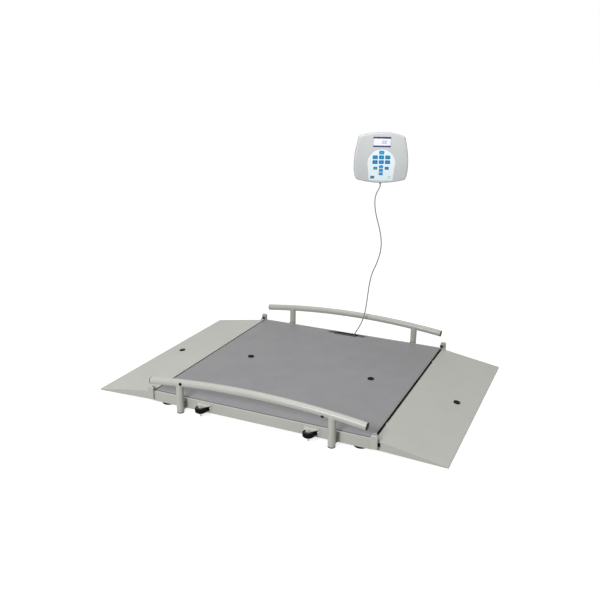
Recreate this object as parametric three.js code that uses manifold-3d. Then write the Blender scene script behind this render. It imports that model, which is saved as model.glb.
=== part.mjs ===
// Wheelchair scale: a low weighing platform between two folding ramps, two low side rails,
// two transport wheels on the front side, and a keypad display on a wall plate, joined by a cord.
// Millimetres. X runs along the way a wheelchair rolls over, Y across it, Z up from the floor.

import * as THREE from 'three';
import { mergeVertices } from 'three/addons/utils/BufferGeometryUtils.js';
import Module from 'manifold-3d';

const wasm = await Module();
wasm.setup();

// Fits that every piece shares
const FIT = 0.3; // air left where two pieces touch
const RUN_FIT = 0.6; // air round what turns or slides
const OVERRUN = 6; // how far a cutter runs past its piece
const SHEET = 3; // folded steel sheet

// Platform
const FRAME_LENGTH = 1000;
const FRAME_WIDTH = 1074;
const DECK_TOP = 57;
const FRAME_BOTTOM = 11.5;
const RIM_DROP = 1; // rim below the deck top
const RIM_WIDTH = 8;
const SIDE_FLANGE = 50;
const CORNER_LENGTH = 12;
const END_WEB = 4;
const END_FLANGE = 45;
const END_TOP = 37;
const DECK_SIDE_GAP = 3;
const DECK_END_GAP = 2;
const DECK_SKIRT = 15;
const DECK_RIB_PITCH = 170;
const MAT_THICKNESS = 2;
const MAT_END_BORDER = 3;
const MAT_SIDE_BORDER = 3;
const CROSS_HEIGHT = 16.5;
const CROSS_TOP = 44; // width of the cross channel's flat top
const CROSS_FOOT = 18;

// Ramps and their hinges
const HINGE_OUT = 6; // hinge axis beyond the frame end
const HINGE_RISE = 10; // hinge axis above the deck
const EAR_LAP = 4.5; // ear over the frame's corner
const EAR_REACH = 23; // ear beyond the frame end
const EAR_FOOT = 8.5; // ear's foot above the frame's
const EAR_THICKNESS = 12;
const REAR_EAR_RISE = 17; // above the hinge axis
const FRONT_EAR_RISE = 9.5;
const EAR_CORNER = 7;
const PIN_RADIUS = 4.7;
const PIN_HEAD_RADIUS = 8;
const PIN_HEAD = 4;
const PIN_DEPTH = 8;
const LUG_RADIUS = 11.5;
const LUG_THICKNESS = 6;
const LUG_LENGTH = 18;
const RAMP_GAP = 9; // frame end to the ramp's inner edge
const RAMP_RUN = 286;
const RAMP_DROP = 4.4; // ramp's inner edge below the deck top
const RAMP_LIP = 6.6;
const RAMP_NOSE = 26;
const RAMP_INNER_LIP = 7;
const RAMP_SIDE_GAP = 5.75;
const RAMP_RIB_DEPTH = 4; // rib's lower edge above the skirt's
const SLOT_PLACE = 10; // slot in a ramp's side skirt, from the ramp's inner edge
const SLOT_LENGTH = 12;
const SLOT_RISE = 13; // above the frame's foot
const SLOT_HEIGHT = 18;
const TAB_WIDTH = 22;
const TAB_REACH = 19;
const TAB_STEM = 3;
const TAB_INSET = 171; // from the frame side

// Bumper discs where the folded ramp meets the deck
const BUMPER_RADIUS = 14.5;
const BUMPER_RISE = 4;
const BUMPER_STEM_RADIUS = 5;
const BUMPER_PLACE = 198; // from the hinge axis

// Side rails
const TUBE_RADIUS = 15.9;
const TUBE_WALL = 2;
const RAIL_OUT = 29; // rail centre line beyond the frame side
const RAIL_INSET = 15; // rail's end from the frame end
const RAIL_END_HEIGHT = 120.2;
const RAIL_ARCH = 32;
const POST_INSET = 155; // from the frame end
const POST_FOOT = 3;
const BRACKET_WIDTH = 30;
const BRACKET_HEIGHT = 38;
const CAP_THICKNESS = 5;
const CAP_SPIGOT = 12;

// Feet
const FOOT_END_INSET = 56;
const FOOT_SIDE_INSET = 32;
const FOOT_RADIUS = 29;
const FOOT_HEIGHT = 9;
const FOOT_BEVEL = 1.5;
const STEM_RADIUS = 6;
const STEM_TOP = 30;
const NUT_RADIUS = 10;
const NUT_HEIGHT = 8;

// Load cells
const CELL_LENGTH = 130;
const CELL_WIDTH = 31;
const CELL_HEIGHT = 24;
const CELL_FOOT_GAP = 18; // foot's axis to the clamped end
const CELL_PACKER = 3.2;
const CELL_CLAMP = 60;
const CELL_BORE = 6;
const CELL_BORE_PITCH = 18;
const CELL_BUTTON = 10;

// Transport wheels
const WHEEL_INSET = 254; // from the frame end
const WHEEL_OUT = 27; // axle beyond the frame side
const WHEEL_RADIUS = 24.2;
const WHEEL_WIDTH = 20.8;
const WHEEL_MIDDLE = 33;
const WHEEL_TREAD = 3;
const WHEEL_HUB = 11;
const HUB_DISH = 2.2;
const AXLE_RADIUS = 4;
const AXLE_TIP = 3;
const BOLT_HEAD = 6.5;
const BOLT_HEAD_HEIGHT = 4;
const BOLT_NUT_HEIGHT = 6;
const ARM_BASE = 68;
const ARM_NOSE = 9.5;
const ARM_SHEET = 3;
const WHEEL_PLATE_WIDTH = 76;
const WHEEL_PLATE_SHEET = 2;

// Hand grip tray at the rear edge, and the summing box
const GRIP_LENGTH = 219;
const GRIP_DEPTH = 23; // notch in the deck
const GRIP_WALL = 2.5;
const GRIP_AIR = 1.2;
const GRIP_TAB = 15;
const GRIP_TAB_THICKNESS = 4;
const CORD_PLACE = 38;
const GLAND_RADIUS = 6;
const GLAND_TIP = 4.2;
const GLAND_LENGTH = 30;
const BOX_LENGTH = 110;
const BOX_WIDTH = 75;
const BOX_HEIGHT = 20;
const BOX_INSET = 118; // from the frame side

// Display head
const HEAD_WIDTH = 263;
const HEAD_HEIGHT = 244;
const HEAD_FRONT = 22;
const HEAD_BACK = 22;
const HEAD_EDGE = 7;
const HEAD_WALL = 3;
const FACE_WALL = 6.4;
const HEAD_X = 149.5;
const HEAD_Y = 496.3;
const HEAD_Z = 993.7;
const HEAD_TURN = THREE.MathUtils.degToRad(24);
const WINDOW_WIDTH = 86;
const WINDOW_HEIGHT = 48;
const WINDOW_DROP = 47; // below the head's top
const WINDOW_GAP = 10.5; // from the window down to the keypad's arch
const INSERT_DEPTH = 3;
const INSERT_CORNER = 3;
const PAD_RADIUS = 67.5;
const PAD_HALF_FOOT = 59;
const PAD_RISE = 12; // above the head's foot
const PAD_CORNER = 8;
const KEY_WIDTH = 24;
const KEY_HEIGHT = 17;
const SMALL_KEY_WIDTH = 19;
const SMALL_KEY_GAP = 3.5;
const KEY_CORNER = 2.2;
const KEY_PROUD = 1.1;
const KEY_BODY = 2.6;
const KEY_PITCH_X = 30.2;
const KEY_PITCH_Z = 22.9;
const KEY_TOP_RISE = 52.2; // above the arch centre
const SIDE_KEY_PITCH = 27.8;
const BOARD_WIDTH = 150;
const BOARD_HEIGHT = 120;
const BOARD_SHEET = 1.6;
const BOARD_Z = 6;
const BOSS_RADIUS = 4;
const BOSS_INSET = 9;
const PLATE_WIDTH = 120;
const PLATE_HEIGHT = 95;
const PLATE_THICKNESS = 9;
const PLATE_CORNER = 8;
const PLATE_HOLE = 4;
const PLATE_HOLE_PITCH = 64;
const HEAD_GLAND_X = 2.8;
const HEAD_GLAND_DEPTH = 30;
const HEAD_GLAND_LENGTH = 10;
const CORD_RADIUS = 3;

// Places worked out from the sizes above
const frameHalf = FRAME_LENGTH / 2;
const sideFace = FRAME_WIDTH / 2;
const rimTop = DECK_TOP - RIM_DROP;
const flangeTop = FRAME_BOTTOM + SHEET;
const flangeEdge = sideFace - SIDE_FLANGE;
const sideHalf = frameHalf - CORNER_LENGTH - FIT;
const deckHalf = frameHalf - DECK_END_GAP;
const deckSide = sideFace - RIM_WIDTH - DECK_SIDE_GAP;
const plateTop = DECK_TOP - MAT_THICKNESS;
const plateUnder = plateTop - SHEET;
const skirtFoot = plateTop - DECK_SKIRT;
const hingeX = frameHalf + HINGE_OUT;
const hingeZ = DECK_TOP + HINGE_RISE;
const rampStart = frameHalf + RAMP_GAP;
const rampEnd = rampStart + RAMP_RUN;
const rampTop = DECK_TOP - RAMP_DROP;
const rampSide = sideFace - RAMP_SIDE_GAP;
const rampFall = (rampTop - RAMP_LIP) / RAMP_RUN; // fall of the top surface per millimetre
const rampTilt = Math.atan(rampFall);
const boreRadius = PIN_RADIUS + FIT;
const railY = sideFace + RAIL_OUT;
const railHalf = frameHalf - RAIL_INSET;
const railRadius = (railHalf ** 2 + RAIL_ARCH ** 2) / (2 * RAIL_ARCH);
const railCentreZ = RAIL_END_HEIGHT + RAIL_ARCH - railRadius;
const postX = frameHalf - POST_INSET;
const wheelX = frameHalf - WHEEL_INSET;
const wheelY = sideFace + WHEEL_OUT;
const armTop = WHEEL_MIDDLE + WHEEL_WIDTH / 2 + RUN_FIT;
const armFoot = WHEEL_MIDDLE - WHEEL_WIDTH / 2 - RUN_FIT;
const footX = frameHalf - FOOT_END_INSET;
const footY = sideFace - FOOT_SIDE_INSET;
const cellEnd = footX - CELL_FOOT_GAP;
const cellStart = cellEnd - CELL_LENGTH;
const tabY = sideFace - TAB_INSET;
const boxY = sideFace - BOX_INSET;
const bumperX = hingeX - BUMPER_PLACE;
const notchY = deckSide - GRIP_DEPTH;
const trayFront = notchY + GRIP_AIR;
const trayRear = sideFace - RIM_WIDTH - FIT;
const trayHalf = GRIP_LENGTH / 2 - GRIP_AIR;
const windowZ = HEAD_HEIGHT / 2 - WINDOW_DROP;
const padFootZ = PAD_RISE - HEAD_HEIGHT / 2;
const padArchZ = windowZ - WINDOW_HEIGHT / 2 - WINDOW_GAP - PAD_RADIUS;
const padRise = padArchZ - padFootZ;

// Colours and finishes
const finish = (colour, roughness, metalness) =>
  new THREE.MeshStandardMaterial({ color: colour, roughness, metalness });
const framePaint = finish('#b3b5ad', 0.5, 0.15);
const deckPaint = finish('#b3b5ad', 0.6, 0.15);
const matRubber = finish('#98989a', 0.85, 0);
const blackRubber = finish('#1b1b1c', 0.8, 0);
const blackPlastic = finish('#222324', 0.55, 0);
const zincSteel = finish('#b9b9b6', 0.35, 0.9);
const bareAluminium = finish('#c3c5c6', 0.4, 0.85);
const greyPlastic = finish('#c8cbcc', 0.5, 0);
const padFilm = finish('#eef4f6', 0.4, 0);
const keyBlue = finish('#0a86c0', 0.45, 0);
const keyTeal = finish('#3f93a8', 0.45, 0);
const windowGlass = finish('#f2f2fb', 0.15, 0);
const boardGreen = finish('#2f6a4a', 0.6, 0);
const cordGrey = finish('#9b968e', 0.6, 0);

// Turns a closed geometry into a solid that can be cut and joined
function solid(geometry) {
  const bare = geometry.clone();
  bare.deleteAttribute('normal');
  bare.deleteAttribute('uv');
  const merged = mergeVertices(bare, 1e-5);
  return new wasm.Manifold(new wasm.Mesh({
    numProp: 3,
    vertProperties: new Float32Array(merged.attributes.position.array),
    triVerts: new Uint32Array(merged.index.array),
  }));
}

// Turns a solid back into a flat shaded geometry
function geometryOf(body) {
  const mesh = body.getMesh();
  const indexed = new THREE.BufferGeometry();
  indexed.setAttribute('position', new THREE.BufferAttribute(new Float32Array(mesh.vertProperties), 3));
  indexed.setIndex(new THREE.BufferAttribute(new Uint32Array(mesh.triVerts), 1));
  const flat = indexed.toNonIndexed();
  flat.computeVertexNormals();
  return flat;
}

const join = (bodies) => bodies.reduce((whole, body) => whole.add(body));
const cut = (body, cutters) => cutters.reduce((rest, cutter) => rest.subtract(cutter), body);

function box(x0, x1, y0, y1, z0, z1) {
  const geometry = new THREE.BoxGeometry(x1 - x0, y1 - y0, z1 - z0);
  geometry.translate((x0 + x1) / 2, (y0 + y1) / 2, (z0 + z1) / 2);
  return solid(geometry);
}

function polygon(points) {
  return new THREE.Shape(points.map(([a, b]) => new THREE.Vector2(a, b)));
}

// An outline in X and Z, carried from y0 to y1
function alongY(shape, y0, y1, curveSegments = 6) {
  const geometry = new THREE.ExtrudeGeometry(shape, { depth: y1 - y0, bevelEnabled: false, curveSegments });
  geometry.rotateX(Math.PI / 2);
  geometry.translate(0, y1, 0);
  return solid(geometry);
}

// An outline in Y and Z, carried from x0 to x1
function alongX(shape, x0, x1, curveSegments = 6) {
  const geometry = new THREE.ExtrudeGeometry(shape, { depth: x1 - x0, bevelEnabled: false, curveSegments });
  geometry.applyMatrix4(new THREE.Matrix4().makeBasis(
    new THREE.Vector3(0, 1, 0), new THREE.Vector3(0, 0, 1), new THREE.Vector3(1, 0, 0)));
  geometry.translate(x0, 0, 0);
  return solid(geometry);
}

// An outline in X and Y, carried from z0 to z1
function alongZ(shape, z0, z1, curveSegments = 6) {
  const geometry = new THREE.ExtrudeGeometry(shape, { depth: z1 - z0, bevelEnabled: false, curveSegments });
  geometry.translate(0, 0, z0);
  return solid(geometry);
}

// A turned body whose axis is Z; the profile lists radius and height from the bottom up
function turned(profile, segments = 24) {
  return solid(new THREE.LatheGeometry(profile.map(([r, z]) => new THREE.Vector2(r, z)), segments)
    .rotateX(Math.PI / 2));
}

const rodZ = (radius, z0, z1, segments = 20) => turned([[0, z0], [radius, z0], [radius, z1], [0, z1]], segments);
const rodY = (radius, y0, y1, segments = 20) => rodZ(radius, y0, y1, segments).rotate([-90, 0, 0]);
const mirrorX = (body) => body.mirror([1, 0, 0]);
const mirrorY = (body) => body.mirror([0, 1, 0]);

function roundedRectangle(width, height, radius, x = 0, z = 0) {
  const shape = new THREE.Shape();
  const halfWidth = width / 2;
  const halfHeight = height / 2;
  shape.moveTo(x - halfWidth + radius, z - halfHeight);
  shape.lineTo(x + halfWidth - radius, z - halfHeight);
  shape.absarc(x + halfWidth - radius, z - halfHeight + radius, radius, -Math.PI / 2, 0);
  shape.lineTo(x + halfWidth, z + halfHeight - radius);
  shape.absarc(x + halfWidth - radius, z + halfHeight - radius, radius, 0, Math.PI / 2);
  shape.lineTo(x - halfWidth + radius, z + halfHeight);
  shape.absarc(x - halfWidth + radius, z + halfHeight - radius, radius, Math.PI / 2, Math.PI);
  shape.lineTo(x - halfWidth, z - halfHeight + radius);
  shape.absarc(x - halfWidth + radius, z - halfHeight + radius, radius, Math.PI, Math.PI * 1.5);
  return shape;
}

const scale = new THREE.Group();

function place(name, body, material, parent = scale) {
  const mesh = new THREE.Mesh(geometryOf(body), material);
  mesh.name = name;
  parent.add(mesh);
  return mesh;
}

// Side channel: an open folded section with a narrow top rim, the posts' brackets and the feet's nuts
function sideChannel() {
  const innerWeb = sideFace - SHEET;
  const section = polygon([
    [flangeEdge, FRAME_BOTTOM], [sideFace, FRAME_BOTTOM], [sideFace, rimTop],
    [sideFace - RIM_WIDTH, rimTop], [sideFace - RIM_WIDTH, rimTop - SHEET], [innerWeb, rimTop - SHEET],
    [innerWeb, flangeTop], [flangeEdge, flangeTop],
  ]);
  let channel = alongX(section, -sideHalf, sideHalf);
  for (const side of [-1, 1]) {
    const x = side * postX;
    const middle = (FRAME_BOTTOM + rimTop) / 2;
    const bracket = box(x - BRACKET_WIDTH / 2, x + BRACKET_WIDTH / 2, innerWeb, railY,
      middle - BRACKET_HEIGHT / 2, middle + BRACKET_HEIGHT / 2);
    const saddle = rodZ(TUBE_RADIUS + FIT, -OVERRUN, rimTop + OVERRUN, 32).translate([x, railY, 0]);
    channel = channel.add(bracket.subtract(saddle));
    const nut = rodZ(NUT_RADIUS, flangeTop - SHEET / 2, flangeTop + NUT_HEIGHT, 6);
    const stem = rodZ(STEM_RADIUS + FIT, -OVERRUN, flangeTop + NUT_HEIGHT + OVERRUN);
    const nutPlace = [side * footX, footY, 0];
    channel = channel.add(nut.translate(nutPlace)).subtract(stem.translate(nutPlace));
  }
  return channel;
}

// Hinge ear: an upright plate with rounded shoulders and a blind bore for the pin
function hingeEar(rise) {
  const inner = frameHalf - EAR_LAP;
  const outer = frameHalf + EAR_REACH;
  const foot = FRAME_BOTTOM + EAR_FOOT;
  const top = hingeZ + rise;
  const outline = new THREE.Shape();
  outline.moveTo(inner, foot);
  outline.lineTo(outer, foot);
  outline.absarc(outer - EAR_CORNER, top - EAR_CORNER, EAR_CORNER, 0, Math.PI / 2);
  outline.absarc(inner + EAR_CORNER, top - EAR_CORNER, EAR_CORNER, Math.PI / 2, Math.PI);
  const seat = [sideFace - OVERRUN, sideFace];
  return cut(alongY(outline, sideFace - SHEET / 2, sideFace + EAR_THICKNESS), [
    rodY(boreRadius, sideFace - OVERRUN, sideFace + PIN_DEPTH + FIT).translate([hingeX, 0, hingeZ]),
    box(frameHalf, outer + OVERRUN, ...seat, 0, top + OVERRUN),
    box(inner - OVERRUN, outer + OVERRUN, ...seat, rimTop, top + OVERRUN),
  ]);
}

// End channel: a low angle across the platform, its corner blocks, the hinge ears and the ramp's rests
function endChannel() {
  const web = box(frameHalf - END_WEB, frameHalf, -sideFace + SHEET, sideFace - SHEET, FRAME_BOTTOM, END_TOP);
  const flange = box(frameHalf - END_FLANGE, frameHalf, -flangeEdge + FIT, flangeEdge - FIT,
    FRAME_BOTTOM, flangeTop);
  const pieces = [web, flange];
  const corner = box(frameHalf - CORNER_LENGTH, frameHalf, sideFace - RIM_WIDTH, sideFace, FRAME_BOTTOM, rimTop);
  for (const [turn, earRise] of [[(body) => body, REAR_EAR_RISE], [mirrorY, FRONT_EAR_RISE]]) {
    pieces.push(turn(hingeEar(earRise)), turn(corner));
    const stem = box(frameHalf - SHEET / 2, frameHalf + TAB_STEM, tabY - TAB_WIDTH / 2,
      tabY + TAB_WIDTH / 2, flangeTop, rampTop - RAMP_INNER_LIP - FIT);
    const ledge = box(frameHalf, frameHalf + TAB_REACH, tabY - TAB_WIDTH / 2, tabY + TAB_WIDTH / 2,
      rampTop - RAMP_INNER_LIP - FIT - SHEET, rampTop - RAMP_INNER_LIP - FIT);
    const clearance = box(frameHalf - OVERRUN, frameHalf, tabY - TAB_WIDTH, tabY + TAB_WIDTH,
      END_TOP, rampTop);
    pieces.push(turn(stem.subtract(clearance)), turn(ledge));
  }
  return join(pieces);
}

// Cross channel: a hat section under the middle of the deck
function crossChannel() {
  const top = FRAME_BOTTOM + CROSS_HEIGHT;
  const half = CROSS_TOP / 2;
  const section = polygon([
    [-half - CROSS_FOOT, FRAME_BOTTOM], [-half + SHEET, FRAME_BOTTOM], [-half + SHEET, top - SHEET],
    [half - SHEET, top - SHEET], [half - SHEET, FRAME_BOTTOM], [half + CROSS_FOOT, FRAME_BOTTOM],
    [half + CROSS_FOOT, flangeTop], [half, flangeTop], [half, top], [-half, top], [-half, flangeTop],
    [-half - CROSS_FOOT, flangeTop],
  ]);
  return alongY(section, -flangeEdge + FIT, flangeEdge - FIT);
}

// Deck: a flat plate with folded skirts and ribs below, notched for the hand grip
function weighDeck() {
  const plate = box(-deckHalf, deckHalf, -deckSide, deckSide, plateUnder, plateTop);
  const shell = box(-deckHalf, deckHalf, -deckSide, deckSide, skirtFoot, plateUnder + SHEET / 2)
    .subtract(box(-deckHalf + SHEET, deckHalf - SHEET, -deckSide + SHEET, deckSide - SHEET,
      skirtFoot - OVERRUN, plateTop));
  const pieces = [plate, shell];
  for (const place of [-2, -1, 0, 1, 2]) {
    const y = place * DECK_RIB_PITCH;
    pieces.push(box(-deckHalf + SHEET / 2, deckHalf - SHEET / 2, y - SHEET / 2, y + SHEET / 2,
      skirtFoot, plateUnder + SHEET / 2));
  }
  const cutters = [box(-GRIP_LENGTH / 2, GRIP_LENGTH / 2, notchY, deckSide + OVERRUN, 0, DECK_TOP)];
  for (const side of [-1, 1]) {
    const x = side * bumperX;
    cutters.push(rodZ(BUMPER_STEM_RADIUS + FIT, 0, DECK_TOP).translate([x, 0, 0]));
    cutters.push(box(x - BUMPER_RADIUS, x + BUMPER_RADIUS, -BUMPER_RADIUS, BUMPER_RADIUS, 0, plateUnder));
  }
  return cut(join(pieces), cutters);
}

function deckMat() {
  const matHalf = deckHalf - MAT_END_BORDER;
  const matSide = deckSide - MAT_SIDE_BORDER;
  const cutters = [
    box(-GRIP_LENGTH / 2, GRIP_LENGTH / 2, notchY, matSide + OVERRUN, 0, DECK_TOP + OVERRUN),
  ];
  for (const side of [-1, 1]) {
    const x = side * bumperX;
    cutters.push(rodZ(BUMPER_RADIUS + FIT, 0, DECK_TOP + OVERRUN, 28).translate([x, 0, 0]));
  }
  return cut(box(-matHalf, matHalf, -matSide, matSide, plateTop + FIT, DECK_TOP), cutters);
}

// Bumper: a rubber disc whose stem presses into a hole; z is the face that it sits on
function bumper(seatDepth) {
  const top = BUMPER_RISE + seatDepth;
  return turned([
    [0, -SHEET], [BUMPER_STEM_RADIUS, -SHEET], [BUMPER_STEM_RADIUS, FIT], [BUMPER_RADIUS, FIT],
    [BUMPER_RADIUS, top - BUMPER_RISE / 4], [BUMPER_RADIUS - BUMPER_RISE / 4, top], [0, top],
  ], 24);
}

// Ramp: a sloping plate on skirts and ribs, with a solid nose and a lug at each inner corner
function ramp() {
  const slope = (x) => rampTop - rampFall * (x - rampStart);
  const noseStart = rampEnd - RAMP_NOSE;
  const footAt = (x) => FRAME_BOTTOM * (rampEnd - x) / RAMP_RUN;
  const plateSection = polygon([
    [rampStart, rampTop - RAMP_INNER_LIP], [rampStart + SHEET, rampTop - RAMP_INNER_LIP],
    [rampStart + SHEET, slope(rampStart + SHEET) - SHEET], [noseStart, slope(noseStart) - SHEET],
    [noseStart, footAt(noseStart)], [rampEnd, 0], [rampEnd, RAMP_LIP], [rampStart, rampTop],
  ]);
  const webSection = (lift) => polygon([
    [rampStart, FRAME_BOTTOM + lift], [noseStart + SHEET, footAt(noseStart) + lift],
    [noseStart + SHEET, slope(noseStart + SHEET) - SHEET / 2], [rampStart, rampTop - SHEET / 2],
  ]);
  const pieces = [alongY(plateSection, -rampSide, rampSide)];
  const ribStart = rampStart + SHEET / 2;
  for (const place of [-1.5, -0.5, 0.5, 1.5]) {
    const y = place * rampSide / 2;
    const rib = alongY(webSection(RAMP_RIB_DEPTH), y - SHEET / 2, y + SHEET / 2);
    const trim = box(rampStart - OVERRUN, ribStart, y - OVERRUN, y + OVERRUN, 0, rampTop);
    pieces.push(rib.subtract(trim));
  }
  const lugShape = new THREE.Shape();
  const lean = Math.atan2(slope(rampStart + LUG_LENGTH) - hingeZ, rampStart + LUG_LENGTH - hingeX);
  const reach = Math.hypot(rampStart + LUG_LENGTH - hingeX, slope(rampStart + LUG_LENGTH) - hingeZ);
  const topAngle = lean + Math.acos(LUG_RADIUS / reach);
  lugShape.moveTo(rampStart, rampTop - SHEET);
  lugShape.lineTo(rampStart + LUG_LENGTH, slope(rampStart + LUG_LENGTH) - SHEET);
  lugShape.lineTo(rampStart + LUG_LENGTH, slope(rampStart + LUG_LENGTH));
  lugShape.absarc(hingeX, hingeZ, LUG_RADIUS, topAngle, Math.PI * 1.25);
  for (const turn of [(body) => body, mirrorY]) {
    const slotStart = rampStart + SLOT_PLACE;
    const slotFoot = FRAME_BOTTOM + SLOT_RISE;
    const slot = box(slotStart, slotStart + SLOT_LENGTH, rampSide - LUG_THICKNESS, rampSide + OVERRUN,
      slotFoot, slotFoot + SLOT_HEIGHT);
    pieces.push(turn(alongY(webSection(0), rampSide - SHEET, rampSide).subtract(slot)));
    const lug = alongY(lugShape, rampSide - LUG_THICKNESS, rampSide, 10);
    pieces.push(turn(lug));
  }
  const bores = [
    rodY(boreRadius, -sideFace, sideFace).translate([hingeX, 0, hingeZ]),
    rodZ(BUMPER_STEM_RADIUS + FIT, -OVERRUN, OVERRUN).rotate([0, THREE.MathUtils.radToDeg(rampTilt), 0])
      .translate([hingeX + BUMPER_PLACE, 0, slope(hingeX + BUMPER_PLACE)]),
  ];
  return cut(join(pieces), bores);
}

// Hinge pin: button head inside the lug, collar between lug and ear, end in the ear's blind bore
function hingePin() {
  const lugInner = rampSide - LUG_THICKNESS;
  const profile = [
    [0, lugInner - FIT - PIN_HEAD], [PIN_HEAD_RADIUS - PIN_HEAD / 2, lugInner - FIT - PIN_HEAD],
    [PIN_HEAD_RADIUS, lugInner - FIT - PIN_HEAD / 2], [PIN_HEAD_RADIUS, lugInner - FIT],
    [PIN_RADIUS, lugInner - FIT], [PIN_RADIUS, rampSide + FIT], [PIN_HEAD_RADIUS, rampSide + FIT],
    [PIN_HEAD_RADIUS, sideFace - FIT], [PIN_RADIUS, sideFace - FIT], [PIN_RADIUS, sideFace + PIN_DEPTH],
    [0, sideFace + PIN_DEPTH],
  ];
  return turned(profile, 16).rotate([-90, 0, 0]).translate([hingeX, 0, hingeZ]);
}

// Side rail: an arched tube on two posts, bored right through
function handrail() {
  const sweep = Math.asin(railHalf / railRadius);
  const arch = (radius, extra) => {
    const path = new THREE.CatmullRomCurve3(Array.from({ length: 13 }, (_, i) => {
      const angle = (i / 6 - 1) * (sweep + extra / railRadius);
      return new THREE.Vector3(railRadius * Math.sin(angle), 0, railCentreZ + railRadius * Math.cos(angle));
    }));
    const section = new THREE.Shape().absarc(0, 0, radius, 0, Math.PI * 2);
    return solid(new THREE.ExtrudeGeometry(section, { extrudePath: path, steps: 12, curveSegments: 9 }));
  };
  const outer = [arch(TUBE_RADIUS, 0)];
  const inner = [arch(TUBE_RADIUS - TUBE_WALL, OVERRUN)];
  for (const side of [-1, 1]) {
    const x = side * postX;
    const meet = railCentreZ + Math.sqrt(railRadius ** 2 - postX ** 2);
    outer.push(rodZ(TUBE_RADIUS, POST_FOOT, meet, 18).translate([x, 0, 0]));
    inner.push(rodZ(TUBE_RADIUS - TUBE_WALL, POST_FOOT - OVERRUN, meet, 18).translate([x, 0, 0]));
  }
  return join(outer).subtract(join(inner)).translate([0, -railY, 0]);
}

// Rail cap: a plug with a domed rim that closes the tube's end
function railCap() {
  const tilt = Math.asin(railHalf / railRadius);
  const spigot = TUBE_RADIUS - TUBE_WALL - FIT;
  const plug = turned([
    [0, -CAP_SPIGOT], [spigot, -CAP_SPIGOT], [spigot, FIT], [TUBE_RADIUS, FIT],
    [TUBE_RADIUS, CAP_THICKNESS / 2], [TUBE_RADIUS - CAP_THICKNESS / 2, CAP_THICKNESS], [0, CAP_THICKNESS],
  ], 18);
  return plug.rotate([0, 90 + THREE.MathUtils.radToDeg(tilt), 0])
    .translate([railRadius * Math.sin(tilt), -railY, railCentreZ + railRadius * Math.cos(tilt)]);
}

// Load cell: a beam with its gauge hole, a packer under the clamped end and a button at the free end
function loadCell() {
  const foot = flangeTop + FIT;
  const beamFoot = foot + CELL_PACKER;
  const beamTop = beamFoot + CELL_HEIGHT;
  const middle = (cellStart + cellEnd) / 2;
  const gauge = new THREE.Shape();
  const boreZ = (beamFoot + beamTop) / 2;
  gauge.absarc(middle - CELL_BORE_PITCH / 2, boreZ, CELL_BORE, Math.PI / 2, Math.PI * 1.5);
  gauge.absarc(middle + CELL_BORE_PITCH / 2, boreZ, CELL_BORE, -Math.PI / 2, Math.PI / 2);
  const beam = box(cellStart, cellEnd, -CELL_WIDTH / 2, CELL_WIDTH / 2, beamFoot, beamTop)
    .subtract(alongY(gauge, -CELL_WIDTH, CELL_WIDTH, 10));
  const packer = box(cellEnd - CELL_CLAMP, cellEnd, -CELL_WIDTH / 2, CELL_WIDTH / 2, foot, beamFoot + FIT);
  const button = rodZ(CELL_BUTTON, beamTop - FIT, plateUnder - FIT)
    .translate([cellStart + CELL_BUTTON * 1.5, 0, 0]);
  return join([beam, packer, button]).translate([0, footY, 0]);
}

// Levelling foot: a rubber shod disc on a threaded stem
function levellingFoot() {
  return turned([
    [0, 0], [FOOT_RADIUS - FOOT_BEVEL, 0], [FOOT_RADIUS, FOOT_BEVEL], [FOOT_RADIUS, FOOT_HEIGHT - FOOT_BEVEL],
    [FOOT_RADIUS - FOOT_BEVEL, FOOT_HEIGHT], [STEM_RADIUS, FOOT_HEIGHT], [STEM_RADIUS, STEM_TOP], [0, STEM_TOP],
  ], 26).translate([footX, footY, 0]);
}

// Wheel bracket: a plate on the frame side with two tapered arms
function wheelBracket() {
  const back = -sideFace - FIT;
  const face = back - WHEEL_PLATE_SHEET;
  const armShape = new THREE.Shape();
  const nose = Math.PI / 6;
  armShape.moveTo(-ARM_BASE / 2, back);
  armShape.absarc(0, -wheelY, ARM_NOSE, Math.PI + nose, -nose);
  armShape.lineTo(ARM_BASE / 2, back);
  const plate = box(-WHEEL_PLATE_WIDTH / 2, WHEEL_PLATE_WIDTH / 2, face, back,
    armFoot - ARM_SHEET - AXLE_RADIUS, armTop + ARM_SHEET + AXLE_RADIUS);
  const upper = alongZ(armShape, armTop, armTop + ARM_SHEET, 10);
  const lower = alongZ(armShape, armFoot - ARM_SHEET, armFoot, 10);
  const bore = rodZ(AXLE_RADIUS + FIT, 0, armTop + OVERRUN).translate([0, -wheelY, 0]);
  return join([plate, upper, lower]).subtract(bore);
}

function transportWheel() {
  const half = WHEEL_WIDTH / 2;
  const rim = WHEEL_RADIUS - WHEEL_TREAD * 2;
  const bore = AXLE_RADIUS + FIT;
  return turned([
    [bore, -half], [WHEEL_HUB, -half], [WHEEL_HUB + HUB_DISH, -half + HUB_DISH], [rim, -half + HUB_DISH],
    [rim, -half], [WHEEL_RADIUS - WHEEL_TREAD, -half], [WHEEL_RADIUS, -half + WHEEL_TREAD],
    [WHEEL_RADIUS, half - WHEEL_TREAD], [WHEEL_RADIUS - WHEEL_TREAD, half], [rim, half], [rim, half - HUB_DISH],
    [WHEEL_HUB + HUB_DISH, half - HUB_DISH], [WHEEL_HUB, half], [bore, half], [bore, -half],
  ], 24).translate([0, -wheelY, WHEEL_MIDDLE]);
}

function axleBolt() {
  const headFoot = armTop + ARM_SHEET + FIT;
  const nutTop = armFoot - ARM_SHEET - FIT;
  const shank = rodZ(AXLE_RADIUS, AXLE_TIP, headFoot + FIT);
  const head = rodZ(BOLT_HEAD, headFoot, headFoot + BOLT_HEAD_HEIGHT, 6);
  const nut = rodZ(BOLT_HEAD, nutTop - BOLT_NUT_HEIGHT, nutTop, 6);
  return join([shank, head, nut]).translate([0, -wheelY, 0]);
}

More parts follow.
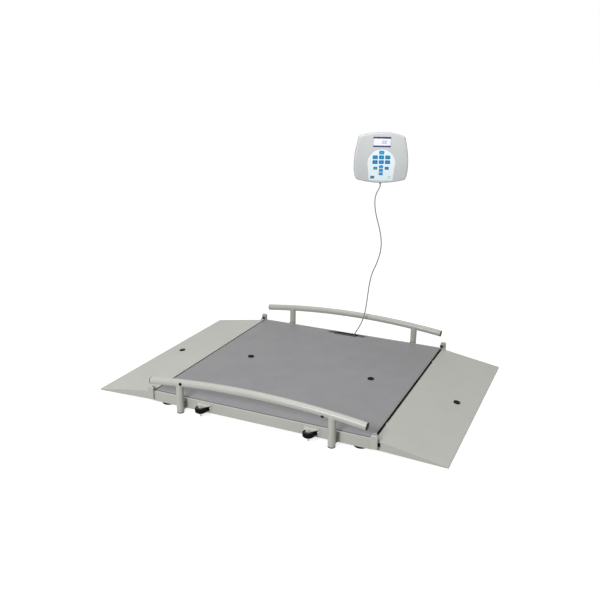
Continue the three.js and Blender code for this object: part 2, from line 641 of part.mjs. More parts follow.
// Grip tray: an open box under the deck's notch, with a flush tab at each end
function gripTray() {
  const foot = flangeTop + FIT;
  const shell = box(-trayHalf, trayHalf, trayFront, trayRear, foot, rimTop)
    .subtract(box(-trayHalf + GRIP_WALL, trayHalf - GRIP_WALL, trayFront + GRIP_WALL, trayRear - GRIP_WALL,
      foot + GRIP_WALL, rimTop + OVERRUN));
  const pieces = [shell];
  for (const side of [-1, 1]) {
    const inner = side * (trayHalf - GRIP_TAB);
    const outer = side * (trayHalf - GRIP_WALL / 2);
    pieces.push(box(Math.min(inner, outer), Math.max(inner, outer), trayFront + GRIP_WALL / 2,
      trayRear - GRIP_WALL / 2, rimTop - GRIP_TAB_THICKNESS, rimTop));
  }
  return join(pieces);
}

const trayFloor = flangeTop + FIT + GRIP_WALL;
const glandY = (trayFront + trayRear) / 2;

// Strain relief: a ribless taper that stands on its flange
function strainRelief(length) {
  return turned([
    [0, 0], [GLAND_RADIUS + GRIP_WALL, 0], [GLAND_RADIUS + GRIP_WALL, GRIP_WALL], [GLAND_RADIUS, GRIP_WALL],
    [GLAND_TIP, length], [0, length],
  ], 20);
}

function summingBox() {
  const foot = FRAME_BOTTOM + CROSS_HEIGHT + FIT;
  const shape = roundedRectangle(BOX_LENGTH, BOX_WIDTH, PLATE_CORNER, 0, boxY);
  const lidShape = roundedRectangle(BOX_LENGTH - SHEET, BOX_WIDTH - SHEET, PLATE_CORNER, 0, boxY);
  return alongZ(shape, foot, foot + BOX_HEIGHT - SHEET, 3)
    .add(alongZ(lidShape, foot + BOX_HEIGHT - SHEET - FIT, foot + BOX_HEIGHT, 3));
}

// The head's outline as shares of its width and height: the right half's points from the bottom up,
// ends and control points in turn, and the heights of the control points of the two bows
const outlineShares = [
  [0.404, -0.447], [0.474, -0.437], [0.484, -0.352], [0.537, -0.082],
  [0.437, 0.36], [0.43, 0.428], [0.374, 0.436],
];
const bowShares = [-0.553, 0.564];

// Outline of the head, drawn in by inset
function headOutline(inset) {
  const width = HEAD_WIDTH - 2 * inset;
  const height = HEAD_HEIGHT - 2 * inset;
  const right = outlineShares.map(([a, b]) => [a * width, b * height]);
  const left = right.map(([x, z]) => [-x, z]).reverse();
  const [bottomBow, topBow] = bowShares.map((share) => share * height);
  const shape = new THREE.Shape();
  shape.moveTo(...left.at(-1));
  shape.quadraticCurveTo(0, bottomBow, ...right[0]);
  for (const i of [1, 3, 5]) shape.quadraticCurveTo(...right[i], ...right[i + 1]);
  shape.quadraticCurveTo(0, topBow, ...left[0]);
  for (const i of [1, 3, 5]) shape.quadraticCurveTo(...left[i], ...left[i + 1]);
  return shape;
}

// Keypad outline: a round arch whose sides draw in towards the foot
function padOutline(inset) {
  const radius = PAD_RADIUS - inset;
  const foot = PAD_HALF_FOOT - inset;
  const footZ = padFootZ + inset;
  const shape = new THREE.Shape();
  shape.moveTo(-foot + PAD_CORNER, footZ);
  shape.lineTo(foot - PAD_CORNER, footZ);
  shape.quadraticCurveTo(foot, footZ, foot, footZ + PAD_CORNER);
  shape.absarc(0, padArchZ, radius, 0, Math.PI);
  shape.lineTo(-foot, footZ + PAD_CORNER);
  shape.quadraticCurveTo(-foot, footZ, -foot + PAD_CORNER, footZ);
  return shape;
}

// A bevelled shell of the head: the bevel is on the side away from the joint between the shells
function headShell(depth, wall, atBack) {
  const outerShape = headOutline(0);
  const geometry = new THREE.ExtrudeGeometry(outerShape, {
    depth: depth - HEAD_EDGE, curveSegments: 6,
    bevelEnabled: true,
    bevelThickness: HEAD_EDGE,
    bevelSize: HEAD_EDGE,
    bevelOffset: -HEAD_EDGE,
    bevelSegments: 3,
  });
  geometry.rotateX(Math.PI / 2);
  let outer = solid(geometry);
  const y = outer.boundingBox();
  outer = outer.translate([0, atBack ? -y.min[1] : -y.max[1], 0]);
  const keep = atBack
    ? box(-HEAD_WIDTH, HEAD_WIDTH, HEAD_EDGE, HEAD_EDGE + depth, -HEAD_HEIGHT, HEAD_HEIGHT)
    : box(-HEAD_WIDTH, HEAD_WIDTH, -HEAD_EDGE - depth, -HEAD_EDGE, -HEAD_HEIGHT, HEAD_HEIGHT);
  const half = outer.intersect(keep);
  const shift = atBack ? HEAD_FRONT + FIT - HEAD_EDGE : HEAD_EDGE + depth;
  const body = half.translate([0, shift, 0]);
  const cavity = atBack
    ? alongY(headOutline(wall), HEAD_FRONT - OVERRUN, HEAD_FRONT + FIT + depth - wall)
    : alongY(headOutline(HEAD_WALL), wall, HEAD_FRONT + OVERRUN);
  return body.subtract(cavity);
}

// Places below the arch centre, as shares of the height from there to the keypad's foot
const firstDropShare = 0.195;
const lowerPitchShare = 0.204;
const sideDropShare = 0.277;

const keyList = (() => {
  const rows = [];
  const pitch = lowerPitchShare * padRise;
  const smallHeight = pitch - SMALL_KEY_GAP;
  const large = [KEY_WIDTH, KEY_HEIGHT, keyBlue];
  const small = [SMALL_KEY_WIDTH, smallHeight, keyBlue];
  const topZ = padArchZ + KEY_TOP_RISE;
  rows.push(['key_top', 0, topZ, ...large]);
  for (const [row, label] of [[1, 'upper'], [2, 'middle']]) {
    for (const [column, place] of [['left', -1], ['centre', 0], ['right', 1]]) {
      rows.push([`key_${label}_${column}`, place * KEY_PITCH_X, topZ - row * KEY_PITCH_Z, ...large]);
    }
  }
  for (const [i, label] of ['first', 'second', 'third'].entries()) {
    rows.push([`key_lower_${label}`, 0, padArchZ - firstDropShare * padRise - i * pitch, ...small]);
  }
  const sideZ = padArchZ - sideDropShare * padRise;
  rows.push(['key_side_left', -SIDE_KEY_PITCH, sideZ, SMALL_KEY_WIDTH, smallHeight, keyTeal]);
  rows.push(['key_side_right', SIDE_KEY_PITCH, sideZ, ...small]);
  return rows;
})();

function faceShell() {
  const windowSeat = alongY(roundedRectangle(WINDOW_WIDTH + 2 * FIT, WINDOW_HEIGHT + 2 * FIT, INSERT_CORNER,
    0, windowZ), -OVERRUN, INSERT_DEPTH);
  const padSeat = alongY(padOutline(-FIT), -OVERRUN, INSERT_DEPTH, 12);
  let shell = headShell(HEAD_FRONT, FACE_WALL, false).subtract(windowSeat).subtract(padSeat);
  for (const side of [-1, 1]) {
    for (const level of [-1, 1]) {
      const boss = rodY(BOSS_RADIUS, FACE_WALL - FIT, HEAD_FRONT, 14);
      shell = shell.add(boss.translate([side * (BOARD_WIDTH / 2 - BOSS_INSET), 0,
        BOARD_Z + level * (BOARD_HEIGHT / 2 - BOSS_INSET)]));
    }
  }
  return shell;
}

function backShell() {
  const bore = rodZ(GLAND_RADIUS + FIT, -HEAD_HEIGHT, 0).translate([HEAD_GLAND_X, HEAD_GLAND_DEPTH, 0]);
  return headShell(HEAD_BACK, HEAD_WALL, true).subtract(bore);
}

function keypadPanel() {
  const windows = keyList.map(([, x, z, width, height]) => alongY(
    roundedRectangle(width + RUN_FIT, height + RUN_FIT, KEY_CORNER + FIT, x, z), -OVERRUN, INSERT_DEPTH, 1));
  return cut(alongY(padOutline(0), 0, INSERT_DEPTH - FIT, 12), windows);
}

function key([, x, z, width, height]) {
  return alongY(roundedRectangle(width, height, KEY_CORNER, x, z), -KEY_PROUD, KEY_BODY - KEY_PROUD, 1);
}

function wallPlate() {
  const back = HEAD_FRONT + FIT + HEAD_BACK + FIT;
  const holes = [-1, 1].map((side) => rodY(PLATE_HOLE, back - OVERRUN, back + PLATE_THICKNESS + OVERRUN, 14)
    .translate([side * PLATE_HOLE_PITCH / 2, 0, 0]));
  return cut(alongY(roundedRectangle(PLATE_WIDTH, PLATE_HEIGHT, PLATE_CORNER), back, back + PLATE_THICKNESS, 4),
    holes);
}

function headGland() {
  const innerEnd = -HEAD_HEIGHT / 2 + HEAD_WALL + GRIP_WALL;
  const seat = -HEAD_HEIGHT / 2 - FIT;
  const tip = -HEAD_HEIGHT / 2 - HEAD_GLAND_LENGTH;
  return turned([
    [0, tip], [GLAND_TIP, tip], [GLAND_RADIUS, seat - GRIP_WALL], [GLAND_RADIUS + GRIP_WALL, seat - GRIP_WALL],
    [GLAND_RADIUS + GRIP_WALL, seat], [GLAND_RADIUS, seat], [GLAND_RADIUS, innerEnd], [0, innerEnd],
  ], 16).translate([HEAD_GLAND_X, HEAD_GLAND_DEPTH, 0]);
}

// Frame
const side = sideChannel();
place('side_channel_rear', side, framePaint);
place('side_channel_front', mirrorY(side), framePaint);
const end = endChannel();
place('end_channel_right', end, framePaint);
place('end_channel_left', mirrorX(end), framePaint);
place('cross_channel', crossChannel(), framePaint);

// Corners: feet, load cells and hinge pins
const footBody = levellingFoot();
const cellBody = loadCell();
const pinBody = hingePin();
for (const [endName, turnX] of [['left', mirrorX], ['right', (body) => body]]) {
  for (const [sideName, turnY] of [['front', mirrorY], ['rear', (body) => body]]) {
    const corner = `${sideName}_${endName}`;
    place(`foot_${corner}`, turnX(turnY(footBody)), blackRubber);
    place(`load_cell_${corner}`, turnX(turnY(cellBody)), bareAluminium);
    place(`hinge_pin_${corner}`, turnX(turnY(pinBody)), zincSteel);
  }
}

// Deck
place('weigh_deck', weighDeck(), deckPaint);
place('deck_mat', deckMat(), matRubber);
const deckBumper = bumper(MAT_THICKNESS);
for (const [name, sign] of [['left', -1], ['right', 1]]) {
  const mesh = place(`deck_bumper_${name}`, deckBumper, blackRubber);
  mesh.position.set(sign * bumperX, 0, plateTop);
}

// Ramps with their bumpers
const rampBody = ramp();
const rampBumper = bumper(0).rotate([0, THREE.MathUtils.radToDeg(rampTilt), 0])
  .translate([hingeX + BUMPER_PLACE, 0, rampTop - rampFall * (hingeX + BUMPER_PLACE - rampStart)]);
place('ramp_right', rampBody, framePaint);
place('ramp_left', mirrorX(rampBody), framePaint);
place('ramp_bumper_right', rampBumper, blackRubber);
place('ramp_bumper_left', mirrorX(rampBumper), blackRubber);

// Side rails and their caps
const rail = handrail();
const cap = railCap();
for (const [sideName, turnY] of [['front', (body) => body], ['rear', mirrorY]]) {
  place(`handrail_${sideName}`, turnY(rail), framePaint);
  place(`rail_cap_${sideName}_right`, turnY(cap), blackPlastic);
  place(`rail_cap_${sideName}_left`, mirrorX(turnY(cap)), blackPlastic);
}

// Transport wheels
const bracketBody = wheelBracket();
const wheelBody = transportWheel();
const boltBody = axleBolt();
for (const [name, sign] of [['left', -1], ['right', 1]]) {
  place(`wheel_bracket_${name}`, bracketBody, framePaint).position.x = sign * wheelX;
  place(`wheel_${name}`, wheelBody, blackRubber).position.x = sign * wheelX;
  place(`axle_bolt_${name}`, boltBody, zincSteel).position.x = sign * wheelX;
}

// Hand grip, strain relief and summing box
place('grip_tray', gripTray(), blackPlastic);
place('platform_gland', strainRelief(GLAND_LENGTH), blackPlastic).position
  .set(CORD_PLACE, glandY, trayFloor + FIT);
place('summing_box', summingBox(), greyPlastic);

// Display head, turned towards the room
const head = new THREE.Group();
head.position.set(HEAD_X, HEAD_Y, HEAD_Z);
head.rotation.z = HEAD_TURN;
scale.add(head);
place('head_front_shell', faceShell(), greyPlastic, head);
place('head_back_shell', backShell(), greyPlastic, head);
place('display_window', alongY(roundedRectangle(WINDOW_WIDTH, WINDOW_HEIGHT, INSERT_CORNER, 0, windowZ),
  FIT, INSERT_DEPTH - FIT), windowGlass, head);
place('keypad_panel', keypadPanel(), padFilm, head);
for (const entry of keyList) place(entry[0], key(entry), entry[5], head);
place('head_board', box(-BOARD_WIDTH / 2, BOARD_WIDTH / 2, HEAD_FRONT + FIT, HEAD_FRONT + FIT + BOARD_SHEET,
  BOARD_Z - BOARD_HEIGHT / 2, BOARD_Z + BOARD_HEIGHT / 2), boardGreen, head);
place('wall_plate', wallPlate(), zincSteel, head);
place('head_gland', headGland(), blackPlastic, head);

// Cord from the display down to the hand grip tray, chosen by hand
const cordTop = new THREE.Vector3(HEAD_GLAND_X, HEAD_GLAND_DEPTH, -HEAD_HEIGHT / 2 - HEAD_GLAND_LENGTH - FIT)
  .applyAxisAngle(new THREE.Vector3(0, 0, 1), HEAD_TURN).add(head.position);
const cordFoot = new THREE.Vector3(CORD_PLACE, glandY, trayFloor + FIT + GLAND_LENGTH + FIT);
const cordRoute = [
  [134, 524, 838], [124.5, 523, 818], [118.5, 522, 795], [117.5, 522, 768], [121, 521, 738], [128, 521, 706],
  [138, 521, 672], [148, 521, 640], [156, 521, 606], [160.5, 521, 572], [160.5, 521, 542], [156.5, 521, 512],
  [149, 520, 482], [139, 520, 452], [127.5, 520, 424], [117, 520, 392], [109, 520, 350], [103.5, 520, 304],
  [99, 520, 256], [93.5, 520, 208], [85, 520, 166], [73, 519, 128], [59, 518, 98], [46, 517, 74],
].map(([x, y, z]) => new THREE.Vector3(x, y, z));
const cordPoints = [
  cordTop, cordTop.clone().add(new THREE.Vector3(0, 0, -CORD_RADIUS * 3)), ...cordRoute,
  cordFoot.clone().add(new THREE.Vector3(0, 0, CORD_RADIUS * 3)), cordFoot,
];
const cordCurve = new THREE.CatmullRomCurve3(cordPoints, false, 'centripetal');
const cordSection = new THREE.Shape().absarc(0, 0, CORD_RADIUS, 0, Math.PI * 2);
place('signal_cord', solid(new THREE.ExtrudeGeometry(cordSection,
  { extrudePath: cordCurve, steps: 64, curveSegments: 4 })), cordGrey);

export default scale;
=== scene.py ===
"""Dresses the wheelchair scale's frame: paint, mat, ramps, rails, wheels, feet, display, keys and cord.
Lengths are in millimetres, apart from finished meshes, nodes' values and the stage, which are in metres."""
from math import acos, asin, atan2, cos, pi, radians, sin, sqrt, tau

import bmesh
import bpy
from bpy.props import FloatProperty, FloatVectorProperty, PointerProperty
from mathutils import Matrix, Vector


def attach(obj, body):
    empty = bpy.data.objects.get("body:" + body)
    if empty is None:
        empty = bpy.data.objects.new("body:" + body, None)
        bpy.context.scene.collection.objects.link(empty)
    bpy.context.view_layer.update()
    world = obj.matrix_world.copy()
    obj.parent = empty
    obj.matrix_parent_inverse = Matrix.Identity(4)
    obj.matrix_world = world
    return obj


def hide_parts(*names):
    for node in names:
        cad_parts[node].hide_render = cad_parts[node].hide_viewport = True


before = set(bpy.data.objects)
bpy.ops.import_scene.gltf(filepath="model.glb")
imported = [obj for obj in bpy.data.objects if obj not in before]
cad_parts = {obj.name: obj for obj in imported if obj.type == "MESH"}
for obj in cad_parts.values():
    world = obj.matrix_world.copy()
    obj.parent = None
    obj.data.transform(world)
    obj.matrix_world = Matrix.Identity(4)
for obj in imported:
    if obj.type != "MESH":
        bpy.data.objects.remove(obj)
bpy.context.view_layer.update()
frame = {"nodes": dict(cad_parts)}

bl_info = {
    "name": "Wheelchair scale",
    "version": (1, 0, 0),
    "blender": (4, 5, 0),
    "location": "View3D > Sidebar > Scale",
    "description": "Builds the visible pieces, finishes and stage of a wheelchair scale round its solid frame",
    "category": "Object",
}

MM = 0.001
MERGE = 0.002  # points closer than this are one
FOLD = 32  # degrees; a solid's edges that turn more than this are rounded

# Places that the solid frame uses
SIDE_FACE = 537.0
HINGE_X, HINGE_Z = 506.0, 67.0
RAIL_Y, RAIL_HALF, RAIL_ARCH, RAIL_END_HEIGHT = 566.0, 485.0, 32.0, 120.2
RAIL_RADIUS = (RAIL_HALF ** 2 + RAIL_ARCH ** 2) / (2 * RAIL_ARCH)
RAIL_CENTRE_Z = RAIL_END_HEIGHT + RAIL_ARCH - RAIL_RADIUS
POST_X = 345.0
POST_FOOT = 5.2
WHEEL_X, WHEEL_Y, WHEEL_MIDDLE = 246.0, -564.0, 33.0
BRACKET_FACE = -539.3
FOOT_X, FOOT_Y = 444.0, 505.0
RAMP_START, RAMP_TOP, RAMP_SIDE = 509.0, 52.6, 531.25
RAMP_FALL = 0.16084  # fall of a ramp's top per millimetre outwards
RAMP_BUMPER_X, RAMP_BUMPER_Z = 704.0, 21.24
DECK_END, DECK_TOP, MAT_SIDE = 498.0, 55.0, 522.9
DECK_BUMPER_X = 308.0
TRAY_LEFT, TRAY_RIGHT = -66, 56  # the hand grip is black between these, and grey at its ends
TRIM_Y, PAD_Y = 496.3, 499.8
CELL_SCREW_X, CELL_SCREW_Z = 414, 42
BOX_Y, BOX_TOP = 419, 48.3
TRAY_RELIEF = (38, 516.45, 17.6)
HEAD_TURN = radians(24)
HEAD = Matrix.Translation((149.5, 496.3, 993.7)) @ Matrix.Rotation(HEAD_TURN, 4, "Z")
HEAD_WIDTH, HEAD_HEIGHT = 263.0, 244.0
WINDOW_Z = 75.0
HEAD_RELIEF = (2.8, 30, -122.3)  # on the display's own axes
ENDS = (("left", -1), ("right", 1))
SIDES = (("front", -1), ("rear", 1))
CORNERS = [(x, y, f"{side}_{end}") for end, x in ENDS for side, y in SIDES]


def linear(hex_colour):
    """Turns an sRGB hex value to linear light."""
    parts = [int(hex_colour[i:i + 2], 16) / 255 for i in (1, 3, 5)]
    return [p / 12.92 if p <= 0.04045 else ((p + 0.055) / 1.055) ** 2.4 for p in parts]


def size_property(name, description, default):
    return FloatProperty(name=name, description=description, default=default * MM, min=0.0,
                         unit="LENGTH", subtype="DISTANCE", precision=5)


def colour_property(name, description, default):
    return FloatVectorProperty(name=name, description=description, default=linear(default), size=3,
                               min=0.0, max=1.0, subtype="COLOR")


class ScaleSizes(bpy.types.PropertyGroup):
    """Sizes that a user may change."""
    tube_radius: size_property("Rail tube radius", "Outer radius of the side rails and posts", 15.9)
    edge_round: size_property("Edge rounding", "Rounding of the folded sheet's painted edges", 0.9)
    weld_bead: size_property("Weld bead", "Radius of the bead between post and rail", 1.3)
    key_crown: size_property("Key crown", "Height of the rounding round a key's face", 0.55)
    cord_radius: size_property("Cord radius", "Radius of the cord's sheath", 3.0)
    thread_pitch: size_property("Thread pitch", "Pitch of the levelling feet's thread", 1.75)


class ScaleColours(bpy.types.PropertyGroup):
    """Colours that a user may change."""
    frame: colour_property("Frame paint", "Powder coat of frame, deck and rails", "#BCBEB6")
    ramp: colour_property("Ramp paint", "Powder coat of the two ramps", "#BCBEB6")
    mat: colour_property("Mat", "Sheet rubber on the deck", "#98989A")
    housing: colour_property("Display housing", "Moulded shells of the display", "#C8CBCC")
    film: colour_property("Keypad film", "Printed film round the keys", "#EAF7FB")
    cord: colour_property("Cord", "Sheath of the cord", "#9B968E")
    key_top: colour_property("Top key", "Cap of the key in the arch", "#0096CE")
    key_upper: colour_property("Upper keys", "Caps of the upper row of keys", "#007BAC")
    key_middle: colour_property("Middle keys", "Caps of the middle row of keys", "#0074B6")
    key_lower: colour_property("Lower keys", "Caps of the column of small keys", "#0A88CC")
    key_side: colour_property("Side key", "Cap of the left side key", "#2C8CA4")


def size(name):
    """A size that a user may change."""
    return getattr(bpy.context.scene.scale_sizes, name) / MM


def paint(colour, share=1.0):
    """Linear light of a hex value, or of a colour that a user may change, times a share."""
    parts = linear(colour) if colour[0] == "#" else getattr(bpy.context.scene.scale_colours, colour)
    return [min(part * share, 1.0) for part in parts]


def at(x, y, z):
    return Matrix.Translation((x, y, z))


def linked(name, data):
    """A new object in the scene."""
    made = bpy.data.objects.new(name, data)
    bpy.context.scene.collection.objects.link(made)
    return made


# Nodes and materials

def add(tree, kind, feeds=None, **settings):
    """Adds a node, sets its properties, and sets or links its inputs."""
    made = tree.nodes.new(kind)
    for key, value in settings.items():
        setattr(made, key, value)
    for key, value in (feeds or {}).items():
        if isinstance(value, bpy.types.NodeSocket):
            tree.links.new(value, made.inputs[key])
        else:
            made.inputs[key].default_value = value
    return made


def first(tree, kind, feeds=None, **settings):
    """Adds a node and gives its first output."""
    return add(tree, kind, feeds, **settings).outputs[0]


def arithmetic(tree, operation, one, two):
    return first(tree, "ShaderNodeMath", {0: one, 1: two}, operation=operation)


def span(tree, value, low, high, start=0.3, end=0.7):
    """Maps a value's part from start to end on to low to high."""
    return first(tree, "ShaderNodeMapRange", {0: value, 1: start, 2: end, 3: low, 4: high})


def noise(tree, place, grain, detail):
    return first(tree, "ShaderNodeTexNoise", {"Vector": place, "Scale": 1 / (grain * MM), "Detail": detail})


def two_tone(tree, share, one, two):
    return add(tree, "ShaderNodeMix", {0: share, 6: [*one, 1], 7: [*two, 1]}, data_type="RGBA").outputs[2]


def surface(name, colour, share=1.0, patch=140, tone=0.025, grain=1.2, speck=0.02, rough=(0.4, 0.5),
            relief=(2.0, 0.02), stretch=(1, 1, 1), pattern=None, **shader):
    """A finish: patches and grain in its colour, a spread of roughness, and relief, all at real sizes."""
    made = bpy.data.materials.new(name)
    made.use_nodes = True
    tree = made.node_tree
    principled = tree.nodes["Principled BSDF"]
    place = add(tree, "ShaderNodeTexCoord").outputs["Object"]
    drawn = first(tree, "ShaderNodeMapping", {"Vector": place, "Scale": stretch})
    fine = noise(tree, drawn, grain, 2.0)
    height = noise(tree, drawn, relief[0], 2.0)
    both = arithmetic(tree, "MULTIPLY", span(tree, noise(tree, place, patch, 3.0), 1 - tone, 1 + tone),
                  span(tree, fine, 1 - speck, 1 + speck))
    base = paint(colour, share)
    if pattern:
        base, height = pattern(tree, place, base)
    tinted = first(tree, "ShaderNodeVectorMath", {0: base, "Scale": both}, operation="SCALE")
    bump = first(tree, "ShaderNodeBump", {"Height": height, "Strength": 1.0, "Distance": relief[1] * MM})
    for value, socket in ((tinted, "Base Color"), (span(tree, fine, *rough), "Roughness"), (bump, "Normal")):
        tree.links.new(value, principled.inputs[socket])
    for socket, value in shader.items():
        principled.inputs[socket.replace("_", " ")].default_value = value
    return made


def pebbles(tree, place, colour):
    """Calendered sheet rubber: low pebbles about 3 mm apart; the valleys between them are painted darker as shade,
    and the crests a little lighter as a highlight.
    """
    cells = first(tree, "ShaderNodeTexVoronoi", {"Vector": place, "Scale": 1 / (3.0 * MM), "Randomness": 0.8})
    crest = span(tree, cells, 1.0, 0.0, 0.1, 0.75)
    return two_tone(tree, crest, [0.9 * part for part in colour], [1.05 * part for part in colour]), crest


def tracks(tree, place, colour):
    """Copper tracks under the solder mask, 1.2 mm wide, 4 mm apart."""
    level = first(tree, "ShaderNodeMapping", {"Vector": place, "Rotation": (0, 0, -HEAD_TURN)})
    waves = add(tree, "ShaderNodeTexWave", {"Vector": level, "Scale": 1 / (8 * MM) / pi, "Distortion": 1.5,
                                            "Detail": 1.0}, bands_direction="Z")
    edge = span(tree, waves.outputs["Fac"], 0.0, 1.0, 0.68, 0.74)
    return two_tone(tree, edge, colour, [1.5 * part for part in colour]), edge


# What kinds of finish share
# Settings of the edge coats that are painted lighter as a highlight
EDGE_HIGHLIGHT_COAT = dict(patch=40, tone=0.06, rough=(0.24, 0.34), relief=(2.4, 0.02))
MOULDED = dict(grain=0.7, rough=(0.46, 0.6), relief=(0.7, 0.02), IOR=1.53, Specular_IOR_Level=0.25)
PANE = dict(patch=60, rough=(0.12, 0.18), relief=(6.0, 0.004), IOR=1.49, Coat_Weight=0.4, Coat_Roughness=0.05)
PRINTED = dict(patch=20, tone=0.02, speck=0.02, rough=(0.3, 0.38), relief=(1.2, 0.008), IOR=1.57)
SILICONE = dict(patch=12, tone=0.02, grain=0.5, speck=0.015, rough=(0.36, 0.46), relief=(0.6, 0.008), IOR=1.45,
                Sheen_Weight=0.08)

FINISHES = {
    # Powder coat on sheet steel: satin, with a fine orange peel about 2 mm from crest to crest
    "powder_coat": dict(colour="frame", rough=(0.26, 0.36), relief=(2.4, 0.02)),
    # The same coat over the rounded edges, painted lighter as a highlight, and smoother
    "powder_coat_edge": dict(EDGE_HIGHLIGHT_COAT, colour="frame", share=1.22),
    # Painted shade on the brackets behind the posts: darker and duller than the top coat
    "primer_coat": dict(colour="#74766F", rough=(0.5, 0.62), relief=(2.0, 0.03)),
    # Powder coat of the ramps, scuffed dull by wheels along the way that they roll
    "ramp_coat": dict(colour="ramp", grain=2.0, speck=0.03, rough=(0.42, 0.56), relief=(2.4, 0.035),
                      stretch=(0.12, 1, 1)),
    # The ramps' coat over their edges, painted lighter as a highlight line
    "ramp_coat_edge": dict(EDGE_HIGHLIGHT_COAT, colour="ramp", share=1.5),
    # Calendered mat rubber: pebbled, rolled to a dull shine, with faint dusty patches
    "sheet_rubber": dict(colour="mat", patch=90, tone=0.035, speck=0.03, rough=(0.4, 0.52), relief=(3.0, 0.04),
                         pattern=pebbles, IOR=1.42, Specular_IOR_Level=0.22),
    # Moulded black rubber: matt and greyish where it catches light
    "moulded_rubber": dict(colour="#101011", grain=0.8, speck=0.12, rough=(0.5, 0.66), relief=(0.9, 0.03),
                           Specular_IOR_Level=0.06),
    # Moulded ABS in black: a fine spark-eroded grain
    "black_abs": dict(MOULDED, colour="#1B1C1D", speck=0.08),
    # Moulded ABS in mid grey, at the two ends of the hand grip
    "grey_abs": dict(MOULDED, colour="#77767C", speck=0.05),
    # Moulded nylon in dark grey, for the wheels' hubs
    "hub_nylon": dict(colour="#3A3B3C", grain=0.9, speck=0.06, rough=(0.38, 0.5), relief=(0.9, 0.02), IOR=1.53),
    # Painted shade on the deck's margins beside the mat: dark and a little rough
    "deck_seal": dict(colour="#4A4A49", grain=0.9, speck=0.08, rough=(0.5, 0.65), relief=(1.0, 0.03)),
    # Zinc plated steel: a pale metal with a faint drawn grain
    "zinc_plate": dict(colour="#B9B9B6", patch=25, tone=0.05, grain=0.5, speck=0.06, rough=(0.26, 0.42),
                       relief=(0.5, 0.01), stretch=(1, 1, 0.2), Metallic=1.0),
    # Burnished pivot steel: oil-black, worn brighter in fine rings
    "burnished_steel": dict(colour="#3B3B3A", patch=12, tone=0.08, grain=0.5, speck=0.1, rough=(0.34, 0.5),
                            relief=(0.5, 0.01), stretch=(1, 0.2, 1), Metallic=0.8),
    # Milled aluminium: fine tool marks along the beam
    "milled_aluminium": dict(colour="#C3C5C6", patch=30, tone=0.03, grain=0.6, speck=0.05, rough=(0.25, 0.4),
                             relief=(0.6, 0.015), stretch=(0.08, 1, 1), Metallic=1.0),
    # Moulded ABS of the display: light grey with a fine spark-eroded grain
    "housing_plastic": dict(colour="housing", grain=0.9, rough=(0.42, 0.54), relief=(0.8, 0.02), IOR=1.53),
    # Clear acrylic over a backlit display: a white field that reads as lit, under a gloss
    "screen_white": dict(PANE, colour="#F2F2FB", tone=0.01, speck=0.004),
    # Pale ink behind the acrylic, at the two ends of the lit field
    "screen_pale": dict(PANE, colour="#D9DCE6", tone=0.01, speck=0.004),
    # Ink behind the acrylic, in navy
    "screen_navy": dict(PANE, colour="#232768", tone=0.02, speck=0.01),
    # Liquid crystal segments: flat grey, with a dull gloss
    "screen_grey": dict(colour="#55576A", patch=30, tone=0.02, speck=0.01, rough=(0.2, 0.3), relief=(4.0, 0.004),
                        IOR=1.49),
    # Printed polyester film: satin and very smooth
    "keypad_film": dict(PRINTED, colour="film", patch=60, tone=0.008, speck=0.006),
    # Teal ink on the film
    "film_teal": dict(PRINTED, colour="#2F6F86"),
    # Pale ink on the film
    "film_pale": dict(PRINTED, colour="#D3E2EA"),
    # Light ink on the keys
    "key_print": dict(colour="#9AD3EA", patch=10, tone=0.02, rough=(0.4, 0.5), relief=(0.6, 0.005)),
    # Glass laminate under a green solder mask
    "green_laminate": dict(colour="#2F6A4A", rough=(0.28, 0.4), relief=(1.0, 0.03), pattern=tracks, IOR=1.55),
    # PVC sheath of the cord: satin, with a faint drawing ripple
    "pvc_sheath": dict(colour="cord", patch=40, tone=0.03, grain=0.9, speck=0.03, rough=(0.4, 0.55),
                       relief=(1.5, 0.03), IOR=1.53),
    # Silicone rubber keys: satin, with a soft sheen at grazing angles
    **{f"key_{name}_rubber": dict(SILICONE, colour=colour) for name, colour in (
        ("top", "key_top"), ("upper", "key_upper"), ("middle", "key_middle"), ("lower", "key_lower"),
        ("side_left", "key_side"), ("side_right", "key_middle"))},
}


def finish(name):
    """The finish of this name, made at its first use."""
    return bpy.data.materials.get(name) or surface(name, **FINISHES[name])


# Outlines

def rounded(points, radius, steps=3):
    """Rounds the corners of an open line of points by up to radius."""
    result = [tuple(points[0])]
    for before, here, after in zip(points, points[1:], points[2:]):
        here = Vector(here)
        start, end = (here + way.normalized() * min(radius, way.length * 0.45)
                      for way in (Vector(before) - here, Vector(after) - here))
        for k in range(steps + 1):
            t = k / steps
            result.append(tuple(start * (1 - t) ** 2 + here * (2 * t * (1 - t)) + end * t ** 2))
    return result + [tuple(points[-1])]


def rectangle(width, height, corner, x, z, steps=6):
    """A rounded rectangle, anticlockwise."""
    half_width, half_height = width / 2 - corner, height / 2 - corner
    points = []
    for turn, (a, b) in enumerate(((1, -1), (1, 1), (-1, 1), (-1, -1))):
        for k in range(steps + 1):
            angle = (turn - 1 + k / steps) * pi / 2
            points.append((x + a * half_width + corner * cos(angle), z + b * half_height + corner * sin(angle)))
    return points


def circle(radius, x, z, steps):
    return [(x + radius * cos(tau * k / steps), z + radius * sin(tau * k / steps)) for k in range(steps)]


def inset(points, amount):
    """Draws an anticlockwise outline in by amount."""
    result = []
    for before, point, after in zip(points[-1:] + points, points, points[1:] + points[:1]):
        here = Vector(point)
        one, two = (Vector((-side.y, side.x)).normalized() for side in (here - Vector(before), Vector(after) - here))
        middle = (one + two).normalized()
        result.append(tuple(here + middle * (amount / max(middle.dot(one), 0.3))))
    return result


def quadratic(start, control, end, steps):
    """The points of a quadratic curve, without its last one."""
    return [tuple((1 - t) ** 2 * a + 2 * t * (1 - t) * b + t * t * c for a, b, c in zip(start, control, end))
            for t in (k / steps for k in range(steps))]


OUTLINE_SHARES = [(0.404, -0.447), (0.474, -0.437), (0.484, -0.352), (0.537, -0.082),
                  (0.437, 0.36), (0.43, 0.428), (0.374, 0.436)]
BOW_SHARES = (-0.553, 0.564)


